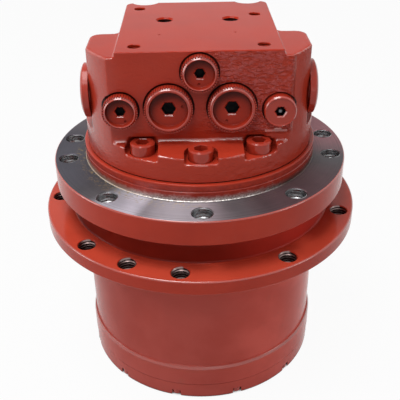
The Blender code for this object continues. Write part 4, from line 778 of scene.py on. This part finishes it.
def makeCover():
    c = cover
    outline = stairs(c["spigotTop"], (
        (c["spigotOuter"], c["rim"], 0.4, 0), (c["radius"], 0, 0.6, 0.9), (0, c["web"], 0, 0)))
    outline += [(c["webRadius"], c["web"], 1.0), (c["spigotInner"], c["spigotTop"], 0.3)]
    plugSpots = [(side * c["plugCircle"], 0) for side in (-1, 1)]
    recesses = bmesh.new()
    addColumns(recesses, coverScrewSpots, c["recessRadius"], c["under"], c["recessDepth"], 40)
    addColumns(recesses, plugSpots, c["plugRecess"], c["under"], c["plugDepth"], 48)
    mesh = cutAway(latheMesh("endCover", outline, 256), recesses)

    def choose(centre, normal):
        radius = math.hypot(centre.x, centre.y)
        # the walls of the screw recesses are near black: painted shade
        inRecess = 77 < radius < c["radius"] - 0.02 and 0.1 < centre.z < c["recessDepth"] + 0.1
        return "recess" if inRecess and (abs(normal.z) < 0.5 or normal.z < -0.9) else "case"

    paintFaces(mesh, ("case", "recess"), choose)
    finished("endCover", mesh, "hub", "end_cover")
    makeScrews("coverScrews", coverScrewSpots, c["recessDepth"], c["screw"], "hub")
    makeScrews("oilPlugs", plugSpots, c["plugDepth"], c["plug"], "hub")


# hub

hub = {
    "caseRadius": 87.0, "bandRadius": 88.7, "bottom": 12.85, "bandTop": 29.1,
    "flangeRadius": 114.7, "flangeBottom": 117.3, "flangeTop": 127.8,
    "collarRadius": 94.4, "collarTop": 147.3, "collarInner": 89.9, "spigotBore": 76.1,
    "holeCircle": 105.0, "holeRadius": 6.0, "holeLead": 0.6,
    "holeAngles": (-88, -48, -28, -8, 32, 72, 112, 152, 192, 232),
    "thread": {"Pitch": 2.0, "Depth": 1.0, "Turns": 4.8}, "threadDown": 0.5,
    "screwHole": 3.0, "screwHoleRise": (-1, 12),
    "ringTeeth": 51, "toothFrom": 16.15, "toothTo": 58.75, "rootRadius": 73.04, "tipRadius": 67.925,
    "toothFoot": 2.3, "toothTip": 5.6, "toothGap": 0.3,
    # walls above the ring gear, for its relief, the bearings and the seal
    "inside": ((73.84, 67.75, 0, 0), (75.3, 121.4, 0.2, 0.5), (85.8, 131.7, 0.8, 0.5)),
}


def makeHub():
    h = hub
    outside = stairs(h["collarTop"], (
        (h["collarRadius"], h["flangeTop"], 0.9, 1.6), (h["flangeRadius"], h["flangeBottom"], 1.0, 1.0),
        (h["caseRadius"], h["bandTop"] + 1.5, 3.0, 0.4)))
    band = [(h["bandRadius"] - 0.8, h["bandTop"] + 0.8, 0.8), (h["bandRadius"], h["bandTop"] - 1.1, 1.2),
            (h["bandRadius"], h["bottom"], 0.5)]
    inside = stairs(h["bottom"], (
        (h["spigotBore"], h["toothFrom"], 0.3, 0), (h["rootRadius"], h["toothTo"], 0.3, 0), *h["inside"],
        (h["collarInner"], h["collarTop"], 0.8, 0.6)))
    spots = around(h["holeCircle"], h["holeAngles"])
    drills = bmesh.new()
    for x, y in spots:
        addDrill(drills, x, y, h["holeRadius"], h["flangeBottom"], h["flangeTop"], h["holeLead"], True)
    low, high = (h["bottom"] + rise for rise in h["screwHoleRise"])
    for x, y in coverScrewSpots:
        addDrill(drills, x, y, h["screwHole"], low, high, facets=24)
    mesh = cutAway(latheMesh("hubCase", outside + band + inside, 256), drills)
    holes = [(x, y, h["holeRadius"]) for x, y in spots]

    def choose(centre, normal):
        radius, z = math.hypot(centre.x, centre.y), centre.z
        if radius > h["caseRadius"] + 0.05 and abs(z - h["bandTop"] + 0.3) < 1.1:
            return "edge"
        if radius > h["flangeRadius"] - 0.9 and z > h["flangeTop"] - 0.9:
            return "edge"
        # the flange's top face takes the lighter red: painted light
        if normal.z > 0.9 and abs(z - h["flangeTop"]) < 0.3:
            return "ledge"
        # the collar under the frame flange takes the darker red: painted shade
        if h["flangeTop"] + 0.2 < z < h["collarTop"] - 1.0 and radius > h["collarRadius"] - 0.1:
            return "neck"
        # the walls of the sprocket holes are near black: painted shade
        if z > h["flangeBottom"] and abs(normal.z) < 0.5 and nearAny(centre.x, centre.y, holes, 0.1):
            return "recess"
        return "rim" if z > h["flangeBottom"] + 0.5 else "case"

    paintFaces(mesh, ("case", "edge", "neck", "recess", "ledge", "rim"), choose)
    finished("hubCase", mesh, "hub", "hub_case")
    sizes = {"Radius": h["holeRadius"] + threadGap, **h["thread"]}
    makeThreads("sprocketThreads", spots, h["flangeTop"] - h["threadDown"], sizes, "dullThread", "hub")

    tall = h["rootRadius"] - h["tipRadius"] + h["toothGap"]
    sizes = {"Count": h["ringTeeth"], "Ring Radius": h["tipRadius"] + tall / 2,
             "Long": h["toothTo"] - h["toothFrom"] - 2 * h["toothGap"], "Wide": h["toothFoot"],
             "Tip": h["toothTip"], "High": tall, "Start": math.radians(90) + math.pi / h["ringTeeth"]}
    place = Matrix.Translation((0, 0, (h["toothFrom"] + h["toothGap"]) * mm))
    makeRing("ringTeeth", sizes, "ground", place, "hub", "ground_steel")


# spindle housing

spindle = {
    "flangeRadius": 105.0, "flangeBottom": 148.3, "flangeTop": 166.1,
    "pilotRadius": 82.4, "pilotTop": 178.45, "groove": 173.6, "grooveDepth": 0.35,
    "holeCircle": 95.0, "holeRadius": 6.95, "holeLead": 0.35,
    "holeAngles": (0, 40, 80, 100, 120, 160, 200, 240, 260, 280, 320),
    "thread": {"Pitch": 2.0, "Depth": 0.95, "Turns": 8.2}, "threadDown": 0.6,
    "screwHole": 5.3, "screwHoleFrom": 162.2,
    "pinCircle": 45.375, "pinAngles": (180, 300, 420), "pinHole": (8.3, 56.0, 80.25),
    # walls from the hub's seal down past the bearings, and up the motor's room
    "seats": ((88.9, 134.0, 0.4, 0.4), (85.8, 141.4, 0.3, 0.4), (68.0, 100.65, 1.0, 0.3),
              (60.0, 67.75, 0.2, 0.2), (58.0, 57.95, 0.2, 0.4)),
    "room": ((15.8, 73.65, 0.3, 0), (26.3, 90.25, 0.2, 0.2), (44.0, 140.0, 0.4, 0.3)),
    "mouthRadius": 56.5,
}


def makeSpindle():
    s = spindle
    pilot, groove, top = s["pilotRadius"], s["groove"], s["flangeTop"]
    deep = pilot - s["grooveDepth"]
    outline = [
        (pilot, s["pilotTop"], 0.9), (pilot, groove + 0.5, 0.1), (deep, groove + 0.2, 0.1),
        (deep, groove - 0.2, 0.1), (pilot, groove - 0.5, 0.1),
        (pilot, top + 0.9, 0.25), (pilot + 0.5, top + 0.75, 0.2), (pilot + 0.6, top, 0.1),
        *stairs(top, ((s["flangeRadius"], s["flangeBottom"], 1.0, 1.0), *s["seats"], *s["room"],
                      (s["mouthRadius"], s["pilotTop"], 0.3, 0.4))),
    ]
    spots = around(s["holeCircle"], s["holeAngles"])
    drills = bmesh.new()
    for x, y in spots:
        addDrill(drills, x, y, s["holeRadius"], s["flangeBottom"], top, s["holeLead"], True)
    for x, y in around(block["screwCircle"], block["screwAngles"]):
        addDrill(drills, x, y, s["screwHole"], s["screwHoleFrom"], s["pilotTop"], facets=24)
    addColumns(drills, around(s["pinCircle"], s["pinAngles"]), *s["pinHole"], 32)
    mesh = cutAway(latheMesh("spindleHousing", outline, 256), drills)

    def choose(centre, normal):
        radius, z = math.hypot(centre.x, centre.y), centre.z
        if top + 0.7 < z < s["pilotTop"] - 1.25 and abs(radius - pilot) < 0.6:
            return "pilot"
        if z > s["pilotTop"] - 1.25 and radius > 60.0:
            return "rim"
        if radius > s["flangeRadius"] - 0.85:
            return "edge" if z > top - 0.85 else "rim"
        if radius > s["flangeRadius"] - 2 and z < top - 1.2:
            return "rim"
        if radius > 86 and z < s["flangeBottom"] + 0.2:
            return "rim"
        return "turned" if z < top - 0.3 else "flangeFace"

    paintFaces(mesh, ("flangeFace", "rim", "pilot", "turned", "edge"), choose)
    finished("spindleHousing", mesh, "frame_side", "spindle_housing", slot="turned_steel")
    sizes = {"Radius": s["holeRadius"] + threadGap, **s["thread"]}
    makeThreads("frameThreads", spots, top - s["threadDown"], sizes, "thread", "frame_side", "turned_steel")


# valve block

block = {
    "baseRadius": 79.8, "foot": 179.4, "shoulder": 196.4, "frontShoulder": 199.4, "slope": 0.175,
    "top": 256.2, "earTop": 252.7, "front": -56.0, "back": 57.0, "plateHalf": 51.5, "earHalf": 71.2,
    "earBack": -6.0, "earRound": 7.0, "plateRound": 6.0,
    "screwCircle": 71.5, "screwAngles": (0, 31.8, 112, 148.2, 180, 211.8, 248, 328.2),
    "frontAngles": (-31.8, 0, 31.8), "spotMargin": 1.0, "spotDepth": 2.6,
    "pocketRadius": 10.4, "pocketFloor": 188.8, "castFloor": 191.6, "frontPocketTop": 200.0,
    "seatRadius": 8.3, "seatTop": 199.6, "seatGap": 0.25, "screwInset": 1.1, "screwHole": 5.3,
    "screw": {"Head Radius": 8.0, "Head Height": 10.0, "Edge": 0.9, "Key": 8.0, "Socket Depth": 5.2,
              "Shank Radius": 5.0, "Shank Length": 25.8, "Flip": 0.0}, "screwUp": 0.1,
    "bearingHole": (13.3, 193.2), "spare": 5.0, "reach": 90.0,
    "castAllowance": 1.6, "voxel": 0.9, "smoothing": (1, 0.5), "bevelDepth": 2.0, "bevelFrom": 0.6,
    "bevelFoot": -2.1, "bevelTop": 0.5,
}

# the casting's ledge at the right of the front: its ends along X, and its corners from the
# front face and the front shoulder
ledge = {"ends": (41.5, 55.5), "corners": ((1.0, -1.5), (-1.3, -1.5), (-1.0, 3.4), (0, 4.3), (1.0, 4.3))}

# holes in the top: X, Y, radius; a thread runs down the small ones
topHoles = ((-40, -45, 3.95), (40, -45, 3.95), (-41, 40.5, 3.95), (40, 22.6, 3.95),
            (-22.6, 12, 5.1), (22.6, 12, 5.1))
topHole = {"smallUpTo": 5, "small": (20, 0.35), "large": (48, 1.1),
           "dimples": ((-25.0, -22.0), (24.0, -19.0)), "dimple": (0.7, 1.2, 0.3),
           "thread": {"Radius": 4.0, "Pitch": 1.25, "Depth": 0.6, "Turns": 13.0}, "threadDown": 0.6}

# the spool's bore along X: half of its steps, radius and distance from the middle
spool = {"y": -23.0, "z": 220.2, "capSeat": 71.2,
         "steps": ((0, 76.5), (18.6, 76.5), (18.6, 71.2), (13.3, 71.2), (13.3, 59.6), (8.8, 59.6))}

plugs = {
    "check_plug_left": {"x": -50.0, "over": 39.6, "head": 11.2, "thread": 7.0, "key": 6.0, "dish": 2.2,
                        "mark": (3.0, -6.4)},
    "relief_plug_left": {"x": -19.7, "over": 40.6, "head": 15.3, "thread": 10.5, "key": 8.0, "dish": 3.0,
                         "mark": (8.6, 1.5)},
    "relief_plug_right": {"x": 20.0, "over": 40.6, "head": 15.3, "thread": 10.5, "key": 8.0, "dish": 3.0,
                          "mark": (-3.4, -8.6)},
    "shuttle_plug": {"x": 0.0, "over": 63.6, "head": 11.6, "thread": 7.0, "key": 6.0, "dish": 2.2,
                     "mark": (-0.6, -6.8)},
    "drain_plug_right": {"x": 50.0, "over": 38.6, "head": 10.2, "thread": 6.5, "key": 6.0, "dish": 0.4},
}

# heights along a plug, from the block's front face outwards
plugShape = {"top": 6.0, "under": -2.4, "end": -13.0, "boreGap": 0.3, "boreSpare": 0.8, "dishFactor": 1.3,
             "dimple": ((0, 1), (1.5, 1), (0.9, -0.1), (0, -0.7)), "knurlsPerMm": 3.7, "knurlUp": 0.5,
             "knurl": {"Long": 4.9, "Wide": 1.15, "Tip": 0.55, "High": 1.0, "Start": 0.0},
             "ball": ((0, -1.2, 0), (1.2, -1.2, 1.1), (1.2, 1.2, 1.1), (0, 1.2, 0)), "ballUp": 3.0}


def mirrored(right):
    return right + [(-x, y) for x, y in reversed(right)]


def arcPoints(cx, cy, radius, start, end, steps=8):
    angles = [math.radians(start + (end - start) * i / steps) for i in range(steps + 1)]
    return [(cx + radius * math.cos(a), cy + radius * math.sin(a)) for a in angles]


def backCorner():
    r = block["plateRound"]
    return arcPoints(block["plateHalf"] - r, block["back"] - r, r, 0, 90)


def blockOutline():
    half, ear, earBack, r = block["plateHalf"], block["earHalf"], block["earBack"], block["earRound"]
    right = [(ear, block["front"])] + arcPoints(ear - r, earBack - r, r, 0, 90)
    return mirrored(right + arcPoints(half + r, earBack + r, r, 270, 180) + backCorner())


def remeshed(mesh):
    base = link("work", mesh)
    grid = base.modifiers.new("grid", "REMESH")
    grid.mode = "VOXEL"
    grid.voxel_size = block["voxel"] * mm
    soften = base.modifiers.new("soften", "SMOOTH")
    soften.iterations, soften.factor = block["smoothing"]
    result = evaluatedMesh(base, mesh.name)
    bpy.data.objects.remove(base)
    bpy.data.meshes.remove(mesh)
    return result


def roughCasting():
    # the casting before any machining: a round foot, a body with two ears, pockets and a ledge
    b, reach = block, block["reach"]
    rough, below = b["top"] + b["castAllowance"], b["foot"] - b["spare"]
    over = rough + b["spare"]
    bar = latheMesh("valveBlock", stairs(rough, ((b["baseRadius"], below + 1, 0, 0), (0, rough, 0, 0))), 192)
    body = bmesh.new()
    addPrism(body, blockOutline(), below, over)
    foot = latheMesh("foot", stairs(b["shoulder"], ((reach, below, 0, 0), (0, b["shoulder"], 0, 0))), 96)
    keep = cutAway(meshFrom(body, "upright"), foot, operation="UNION")
    mesh = cutAway(bar, keep, operation="INTERSECT")

    strip = bmesh.new()
    addPrism(strip, rectangle(-reach, reach, -reach, b["front"]), b["frontShoulder"], over + b["spare"])
    for corner in strip.verts:
        corner.co.z += b["slope"] * (corner.co.y - b["front"] * mm)
    tops = bmesh.new()
    for side in (-1, 1):
        inner, outer = sorted((side * b["plateHalf"], side * reach))
        addPrism(tops, rectangle(inner, outer, -reach, reach), b["earTop"], over)
    pockets = bmesh.new()
    for x, y in around(b["screwCircle"], b["screwAngles"]):
        high = b["frontPocketTop"] if y < 0 else over
        addColumns(pockets, [(x, y)], b["pocketRadius"], b["castFloor"], high, 40)
    slots = bmesh.new()
    for x, y in around(b["screwCircle"], b["frontAngles"]):
        addPrism(slots, rectangle(x - b["pocketRadius"], x + b["pocketRadius"], -reach, y),
                 b["castFloor"], b["frontPocketTop"])
    mesh = cutAway(mesh, strip, tops, pockets, slots)
    fillet = bmesh.new()
    bridge(fillet, *([fillet.verts.new((x * mm, (b["front"] + y) * mm, (b["frontShoulder"] + z) * mm))
                      for y, z in ledge["corners"]] for x in ledge["ends"]))
    mesh = cutAway(mesh, fillet, operation="UNION")
    mesh = remeshed(mesh)
    print("casting remeshed,", len(mesh.polygons), "faces")
    roughenCasting(mesh)
    return mesh


# the sand's unevenness: its depth in metres, waves to the metre, and its share on each side
sand = {"depth": 0.00016, "coarse": 330, "fine": 700, "top": 0.2, "sides": 0.35, "left": 0.25,
        "rightFrom": -0.010, "rightWidth": 0.030}


def roughenCasting(mesh):
    # a little of the sand's unevenness in the surface itself, strongest on the right of the front
    normals = [vertex.normal.copy() for vertex in mesh.vertices]
    for vertex, normal in zip(mesh.vertices, normals):
        spot = vertex.co
        toRight = (spot.x - sand["rightFrom"]) / sand["rightWidth"]
        share = min(1.0, max(sand["left"], toRight)) if normal.y < -0.7 else sand["sides"]
        if normal.z > 0.8:
            share = sand["top"]
        wave = noise.noise(spot * sand["coarse"]) + 0.5 * noise.noise(spot * sand["fine"])
        vertex.co = spot + normal * (wave * share * sand["depth"])


def plugOrigin(plug):
    return plug["x"], block["front"], block["foot"] + plug["over"]


def machiningCuts():
    b, reach, top = block, block["reach"], block["top"]
    shell = bmesh.new()
    everywhere = rectangle(-reach, reach, -reach, reach)
    addPrism(shell, everywhere, top - b["bevelFrom"], top + 12)
    taper = bmesh.new()
    plate = mirrored([(b["plateHalf"], b["front"])] + backCorner())
    addPrism(taper, plate, top - b["bevelFrom"] - b["bevelDepth"], top, b["bevelFoot"], b["bevelTop"])
    shave = cutAway(meshFrom(shell, "shave"), taper)
    holes = bmesh.new()
    for x, y, radius in topHoles:
        deep, lead = topHole["small" if radius < topHole["smallUpTo"] else "large"]
        addDrill(holes, x, y, radius, top - deep, top, lead)
    radius, deep, lead = topHole["dimple"]
    for x, y in topHole["dimples"]:
        addDrill(holes, x, y, radius, top - deep, top, lead, facets=16)
    under, seat, hole = b["foot"] - 2, b["seatRadius"], b["screwHole"]
    steps = [(0, b["seatTop"]), (seat, b["seatTop"]), (seat, b["pocketFloor"]), (hole, b["pocketFloor"]),
             (hole, under), (0, under)]
    for x, y in around(b["screwCircle"] - b["screwInset"], b["screwAngles"]):
        addLathe(holes, steps, 40, upright(x, y))
    radius, high = b["bearingHole"]
    addColumns(holes, [(0, 0)], radius, under, high, 48)
    bores = bmesh.new()
    for plug in plugs.values():
        wide, narrow = plug["head"] + b["spotMargin"], plug["thread"] + plugShape["boreGap"]
        clear, end = plugShape["top"], plugShape["end"] - plugShape["boreSpare"]
        steps = [(0, clear), (wide, clear), (wide, -b["spotDepth"]), (narrow, -b["spotDepth"]),
                 (narrow, end), (0, end)]
        addLathe(bores, steps, 64, turnMatrix("-Y", plugOrigin(plug)))
    spoolCut = bmesh.new()
    steps = [*spool["steps"], *((radius, -along) for radius, along in reversed(spool["steps"]))]
    addLathe(spoolCut, steps, 64, turnMatrix("+X", (0, spool["y"], spool["z"])))
    footCut = bmesh.new()
    addPrism(footCut, everywhere, b["foot"] - 10, b["foot"] - b["seatGap"])
    return shave, holes, bores, spoolCut, footCut


def makeBlock():
    b = block
    mesh = cutAway(roughCasting(), *machiningCuts())
    plugSpots = [(plug["x"], b["foot"] + plug["over"], plug["head"]) for plug in plugs.values()]

    def choose(centre, normal):
        x, y, z = centre
        if normal.z > 0.97 and z > b["earTop"] - 0.7:
            return "machined"
        if 0.30 < normal.z < 0.93 and normal.y < -0.15:
            onPlateEdge = abs(x) < b["plateHalf"] + 0.8 and z > b["earTop"] - 1.0
            return "machined" if onPlateEdge else "edge"
        # the walls deep in the top holes and in the gaps round the plugs are near black: painted shade
        inTop = b["top"] - 50 < z < b["top"] - 1.4 and abs(normal.z) < 0.5
        if inTop and nearAny(x, y, topHoles, 0.1):
            return "recess"
        inFront = b["front"] + 0.15 < y < b["front"] + b["spotDepth"] + 12
        if inFront and nearAny(x, z, plugSpots, b["spotMargin"] + 0.05):
            return "recess"
        return "casting"

    paintFaces(mesh, ("casting", "machined", "recess", "edge"), choose)
    print("valve block machined,", len(mesh.polygons), "faces")
    finished("valveBlock", mesh, "frame_side", "valve_block")


gasket = {"inset": 0.15, "inner": 58.5, "low": 178.5, "high": 179.1, "hole": (5.5, 176, 181)}


def makeGasketAndScrews():
    b, g = block, gasket
    edge = b["baseRadius"] - g["inset"]
    outline = stairs(g["high"], ((edge, g["low"], 0, 0), (g["inner"], g["high"], 0, 0)))
    holes = bmesh.new()
    addColumns(holes, around(b["screwCircle"], b["screwAngles"]), *g["hole"], 24)
    mesh = cutAway(latheMesh("blockGasket", outline, 192), holes)
    finished("blockGasket", mesh, "frame_side", "block_gasket", slot="gasket_fibre", coat="gasket")
    spots = around(b["screwCircle"] - b["screwInset"], b["screwAngles"])
    nodes = [f"block_screw_{number}" for number in range(1, 9)]
    makeScrews("blockScrews", spots, b["pocketFloor"] + b["screwUp"], b["screw"], "frame_side", *nodes)


def makePlug(name, plug):
    # a flat plug with a rounded rim, a dished face and a hexagon
    p = plugShape
    head, dish, dished = plug["head"], plug["dish"] * p["dishFactor"], plug["dish"] > 1
    rim, side = (head * 0.80, head - 0.6) if dished else (head * 0.90, head)
    top, thread = p["top"], plug["thread"]
    face = top - dish
    outline = [
        (0, face, 0), (rim - 0.7, face, 0.6), (rim, top - 0.3, 0.5), (rim + 0.5, top, 0.3),
        (side - 1.1, top, 0.3), (side, top - 1.3, 0.4), (side, p["under"], 0.2), (thread, p["under"], 0),
        (thread, p["end"], 0.4), (0, p["end"], 0),
    ]
    corner = plug["key"] / math.sqrt(3)
    mouth = corner + 0.8
    hexagon = bmesh.new()
    addLathe(hexagon, [(0, face + 3), (mouth + 2.6, face + 3), (mouth, face + 0.02), (corner, face - 0.8),
                       (corner, face - 1.5), (corner, face - 5.6), (0, face - 6.6)], 6)
    if "mark" in plug:
        addLathe(hexagon, [(r, face + z) for r, z in p["dimple"]], 16, upright(*plug["mark"]))
    mesh = cutAway(latheMesh(name, outline, 96, 0.3, 4), hexagon)

    def choose(centre, normal):
        radius, z = math.hypot(centre.x, centre.y), centre.z
        # deep in the hexagon the walls are near black: painted shade
        if radius < corner + 0.1 and -8 < z < face - 1.6:
            return "socketShade"
        onLead = radius < mouth and face - 0.9 < z < face
        if onLead or radius > rim + 0.3 and z > top - 1.4 and normal.z < 0.97:
            return "edge"
        return "dish" if dished and radius < rim + 0.2 and z > face - 1.0 else "fastener"

    paintFaces(mesh, ("fastener", "socketShade", "edge", "dish"), choose)
    place = turnMatrix("-Y", plugOrigin(plug))
    mesh.transform(place)
    finished(name + "_seen", mesh, "frame_side", name)
    if dished:
        sizes = {"Count": int(head * p["knurlsPerMm"]), "Ring Radius": head - 0.5, **p["knurl"]}
        up = Matrix.Translation((0, 0, p["knurlUp"] * mm))
        makeRing(name + "_knurl", sizes, "fastener", place @ up, "frame_side")
    else:
        ball = latheMesh(name + "_ball", p["ball"], 32)
        ball.transform(place @ Matrix.Translation((0, 0, p["ballUp"] * mm)))
        finished(name + "_ball", ball, "frame_side", slot="ground_steel", coat="iron")


# from the cap's seat outwards: radius, height, fillet; the hexagon's rows start from its corner
spoolCap = {
    "outline": ((0, 5.8, 0), (15.2, 5.8, 0.8), (18.0, 4.4, 0.9), (18.0, 0.3, 0.3), (13.0, 0.3, 0),
                (13.0, -11.0, 0.6), (0, -11.0, 0)),
    "key": 12.0, "walls": ((2.5, 7.8), (0.5, 5.82), (0, 5.3), (0, -2)), "floor": -3.4,
}


def makeSpoolCap(name, side):
    c = spoolCap
    hexagon = bmesh.new()
    corner = c["key"] / math.sqrt(3)
    walls = [(corner + more, z) for more, z in c["walls"]]
    addLathe(hexagon, [(0, c["walls"][0][1]), *walls, (0, c["floor"])], 6)
    mesh = cutAway(latheMesh(name, c["outline"], 96, 0.3, 4), hexagon)
    x = spool["capSeat"] if side == "+X" else -spool["capSeat"]
    mesh.transform(turnMatrix(side, (x, spool["y"], spool["z"])))
    finished(name + "_seen", mesh, "frame_side", name, coat="fastener")


def makeBrakeSpring():
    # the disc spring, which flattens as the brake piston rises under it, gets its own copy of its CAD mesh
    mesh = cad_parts["brake_spring"].data.copy()
    spring = finished("brakeSpring", mesh, "frame_side", "brake_spring", slot="ground_steel", coat="ground")
    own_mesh(spring)


makeHub()
print("hub made")
makeCover()
print("end cover made")
makeSpindle()
print("spindle housing made")
makeBlock()
makeGasketAndScrews()
for plugName, plugSizes in plugs.items():
    makePlug(plugName, plugSizes)
makeSpoolCap("spool_cap_left", "-X")
makeSpoolCap("spool_cap_right", "+X")
smallHoles = [(x, y) for x, y, radius in topHoles if radius < topHole["smallUpTo"]]
makeThreads("mountThreads", smallHoles, block["top"] - topHole["threadDown"], topHole["thread"],
            "machined", "frame_side")
makeBrakeSpring()
print("block, screws and plugs made")


# inner nodes keep their solids

innerFinish = {
    "turned": ("bearing_nut",),
    "iron": ("brake_piston", "cylinder_block", "first_carrier"),
    "bronze": ("shoe_retainer", "thrust_button", "valve_plate"),
    "rubber": ("hub_seal_cord", "spindle_seal_cord"),
    "lining": ("friction_disc",),
}
finishOf = {node: kind for kind, names in innerFinish.items() for node in names}
for nodeName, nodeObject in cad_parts.items():
    if nodeObject.hide_render:
        continue
    if not nodeObject.material_slots:
        nodeObject.data.materials.append(None)
    for materialSlot in nodeObject.material_slots:
        materialSlot.material = finish[finishOf.get(nodeName, "ground")]


# stage, light and camera

stage = {"floor": (0.66, 0.66, 0.67), "floorRoughness": 0.9, "floorHalf": 6.0, "floorZ": -0.0002,
         "diffuse": 0.16, "shadowShare": 0.05, "shadowReach": 0.008, "shadow": (0.10, 0.42)}
white = (1, 1, 1)


def seenDirectly(nodes):
    # 1 for the rays that show the backdrop itself, straight, mirrored or through glass
    path = nodes.add("ShaderNodeLightPath").outputs
    seen = nodes.calc("MAXIMUM", path["Is Camera Ray"], path["Is Transmission Ray"])
    return nodes.calc("MAXIMUM", seen, path["Is Glossy Ray"])


def makeFloor():
    shape = bmesh.new()
    half = stage["floorHalf"]
    corners = rectangle(-half, half, -half, half)
    shape.faces.new([shape.verts.new((x, y, stage["floorZ"])) for x, y in corners])
    floor = link("floor", meshFrom(shape, "floor"))
    material, nodes, shader, place = newMaterial("paleFloor")
    nodes.feed(shader, {"Base Color": stage["floor"], "Roughness": stage["floorRoughness"]})
    seen = seenDirectly(nodes)
    glow = nodes.add("ShaderNodeEmission", {"Color": white, "Strength": 1.0})
    openSky = nodes.openness(stage["shadowReach"], 8)
    share = nodes.times(seen, nodes.ramp(openSky, *stage["shadow"], 0.0, 1.0 - stage["shadowShare"]))
    either = nodes.add("ShaderNodeMixShader", {0: share, 1: shader.outputs[0], 2: glow.outputs[0]})
    nodes.feed(nodes.tree.nodes["Material Output"], {"Surface": either.outputs[0]})
    floor.data.materials.append(material)


def makeWorld():
    world = bpy.data.worlds.new("studio")
    bpy.context.scene.world = world
    world.use_nodes = True
    world.node_tree.nodes.clear()
    nodes = Nodes(world.node_tree)
    soft, bright = (nodes.add("ShaderNodeBackground", {"Color": white, "Strength": strength}).outputs[0]
                    for strength in (stage["diffuse"], 1.0))
    either = nodes.add("ShaderNodeMixShader", {0: seenDirectly(nodes), 1: soft, 2: bright})
    nodes.add("ShaderNodeOutputWorld", {"Surface": either.outputs[0]})


lamps = {
    "overhead": {"at": (-0.30, -0.20, 1.40), "size": (0.8, 0.6), "power": 11.6, "aim": (0, 0, 0.18)},
    "key": {"at": (-0.30, -0.85, 1.25), "size": (0.7, 0.35), "power": 3.4, "aim": (0, 0, 0.18)},
    "left": {"at": (-1.35, -0.10, 0.45), "size": (0.5, 0.8), "power": 3.9, "aim": (0, 0, 0.16)},
    "right": {"at": (1.30, -0.55, 0.40), "size": (0.5, 0.8), "power": 2.9, "aim": (0, 0, 0.06)},
    "front": {"at": (0.25, -1.50, 0.30), "size": (0.45, 0.35), "power": 0.5, "aim": (0, 0, 0.08)},
}


def makeLamps():
    for name, lamp in lamps.items():
        data = bpy.data.lights.new(name, "AREA")
        data.shape = "RECTANGLE"
        data.size, data.size_y = lamp["size"]
        data.energy = lamp["power"]
        made = link(name, data)
        made.location = lamp["at"]
        aim = Vector(lamp["aim"]) - Vector(lamp["at"])
        made.rotation_euler = aim.to_track_quat("-Z", "Y").to_euler()


viewpoint = {"at": (-0.00578, -0.4519, 0.3874), "pitch": 30.681, "yaw": 0.707, "roll": -0.825,
             "focal": 680.586, "photoWidth": 400.0, "sensor": 36.0, "clip": 0.01}


def makeCamera():
    data = bpy.data.cameras.new("camera")
    data.sensor_width = viewpoint["sensor"]
    data.lens = viewpoint["focal"] * viewpoint["sensor"] / viewpoint["photoWidth"]
    data.clip_start = viewpoint["clip"]
    pitch, yaw, roll = (math.radians(viewpoint[key]) for key in ("pitch", "yaw", "roll"))
    ahead = Vector((math.sin(yaw) * math.cos(pitch), math.cos(yaw) * math.cos(pitch), -math.sin(pitch)))
    right = ahead.cross(Vector((0, 0, 1))).normalized()
    up = right.cross(ahead)
    across = math.cos(roll) * right + math.sin(roll) * up
    above = -math.sin(roll) * right + math.cos(roll) * up
    camera = link("camera", data)
    turn = Matrix((across, above, -ahead)).transposed()
    camera.matrix_world = Matrix.Translation(viewpoint["at"]) @ turn.to_4x4()
    bpy.context.scene.camera = camera


makeFloor()
makeWorld()
makeLamps()
makeCamera()
bpy.context.scene.view_settings.view_transform = "Standard"
print("stage, lamps and camera set")
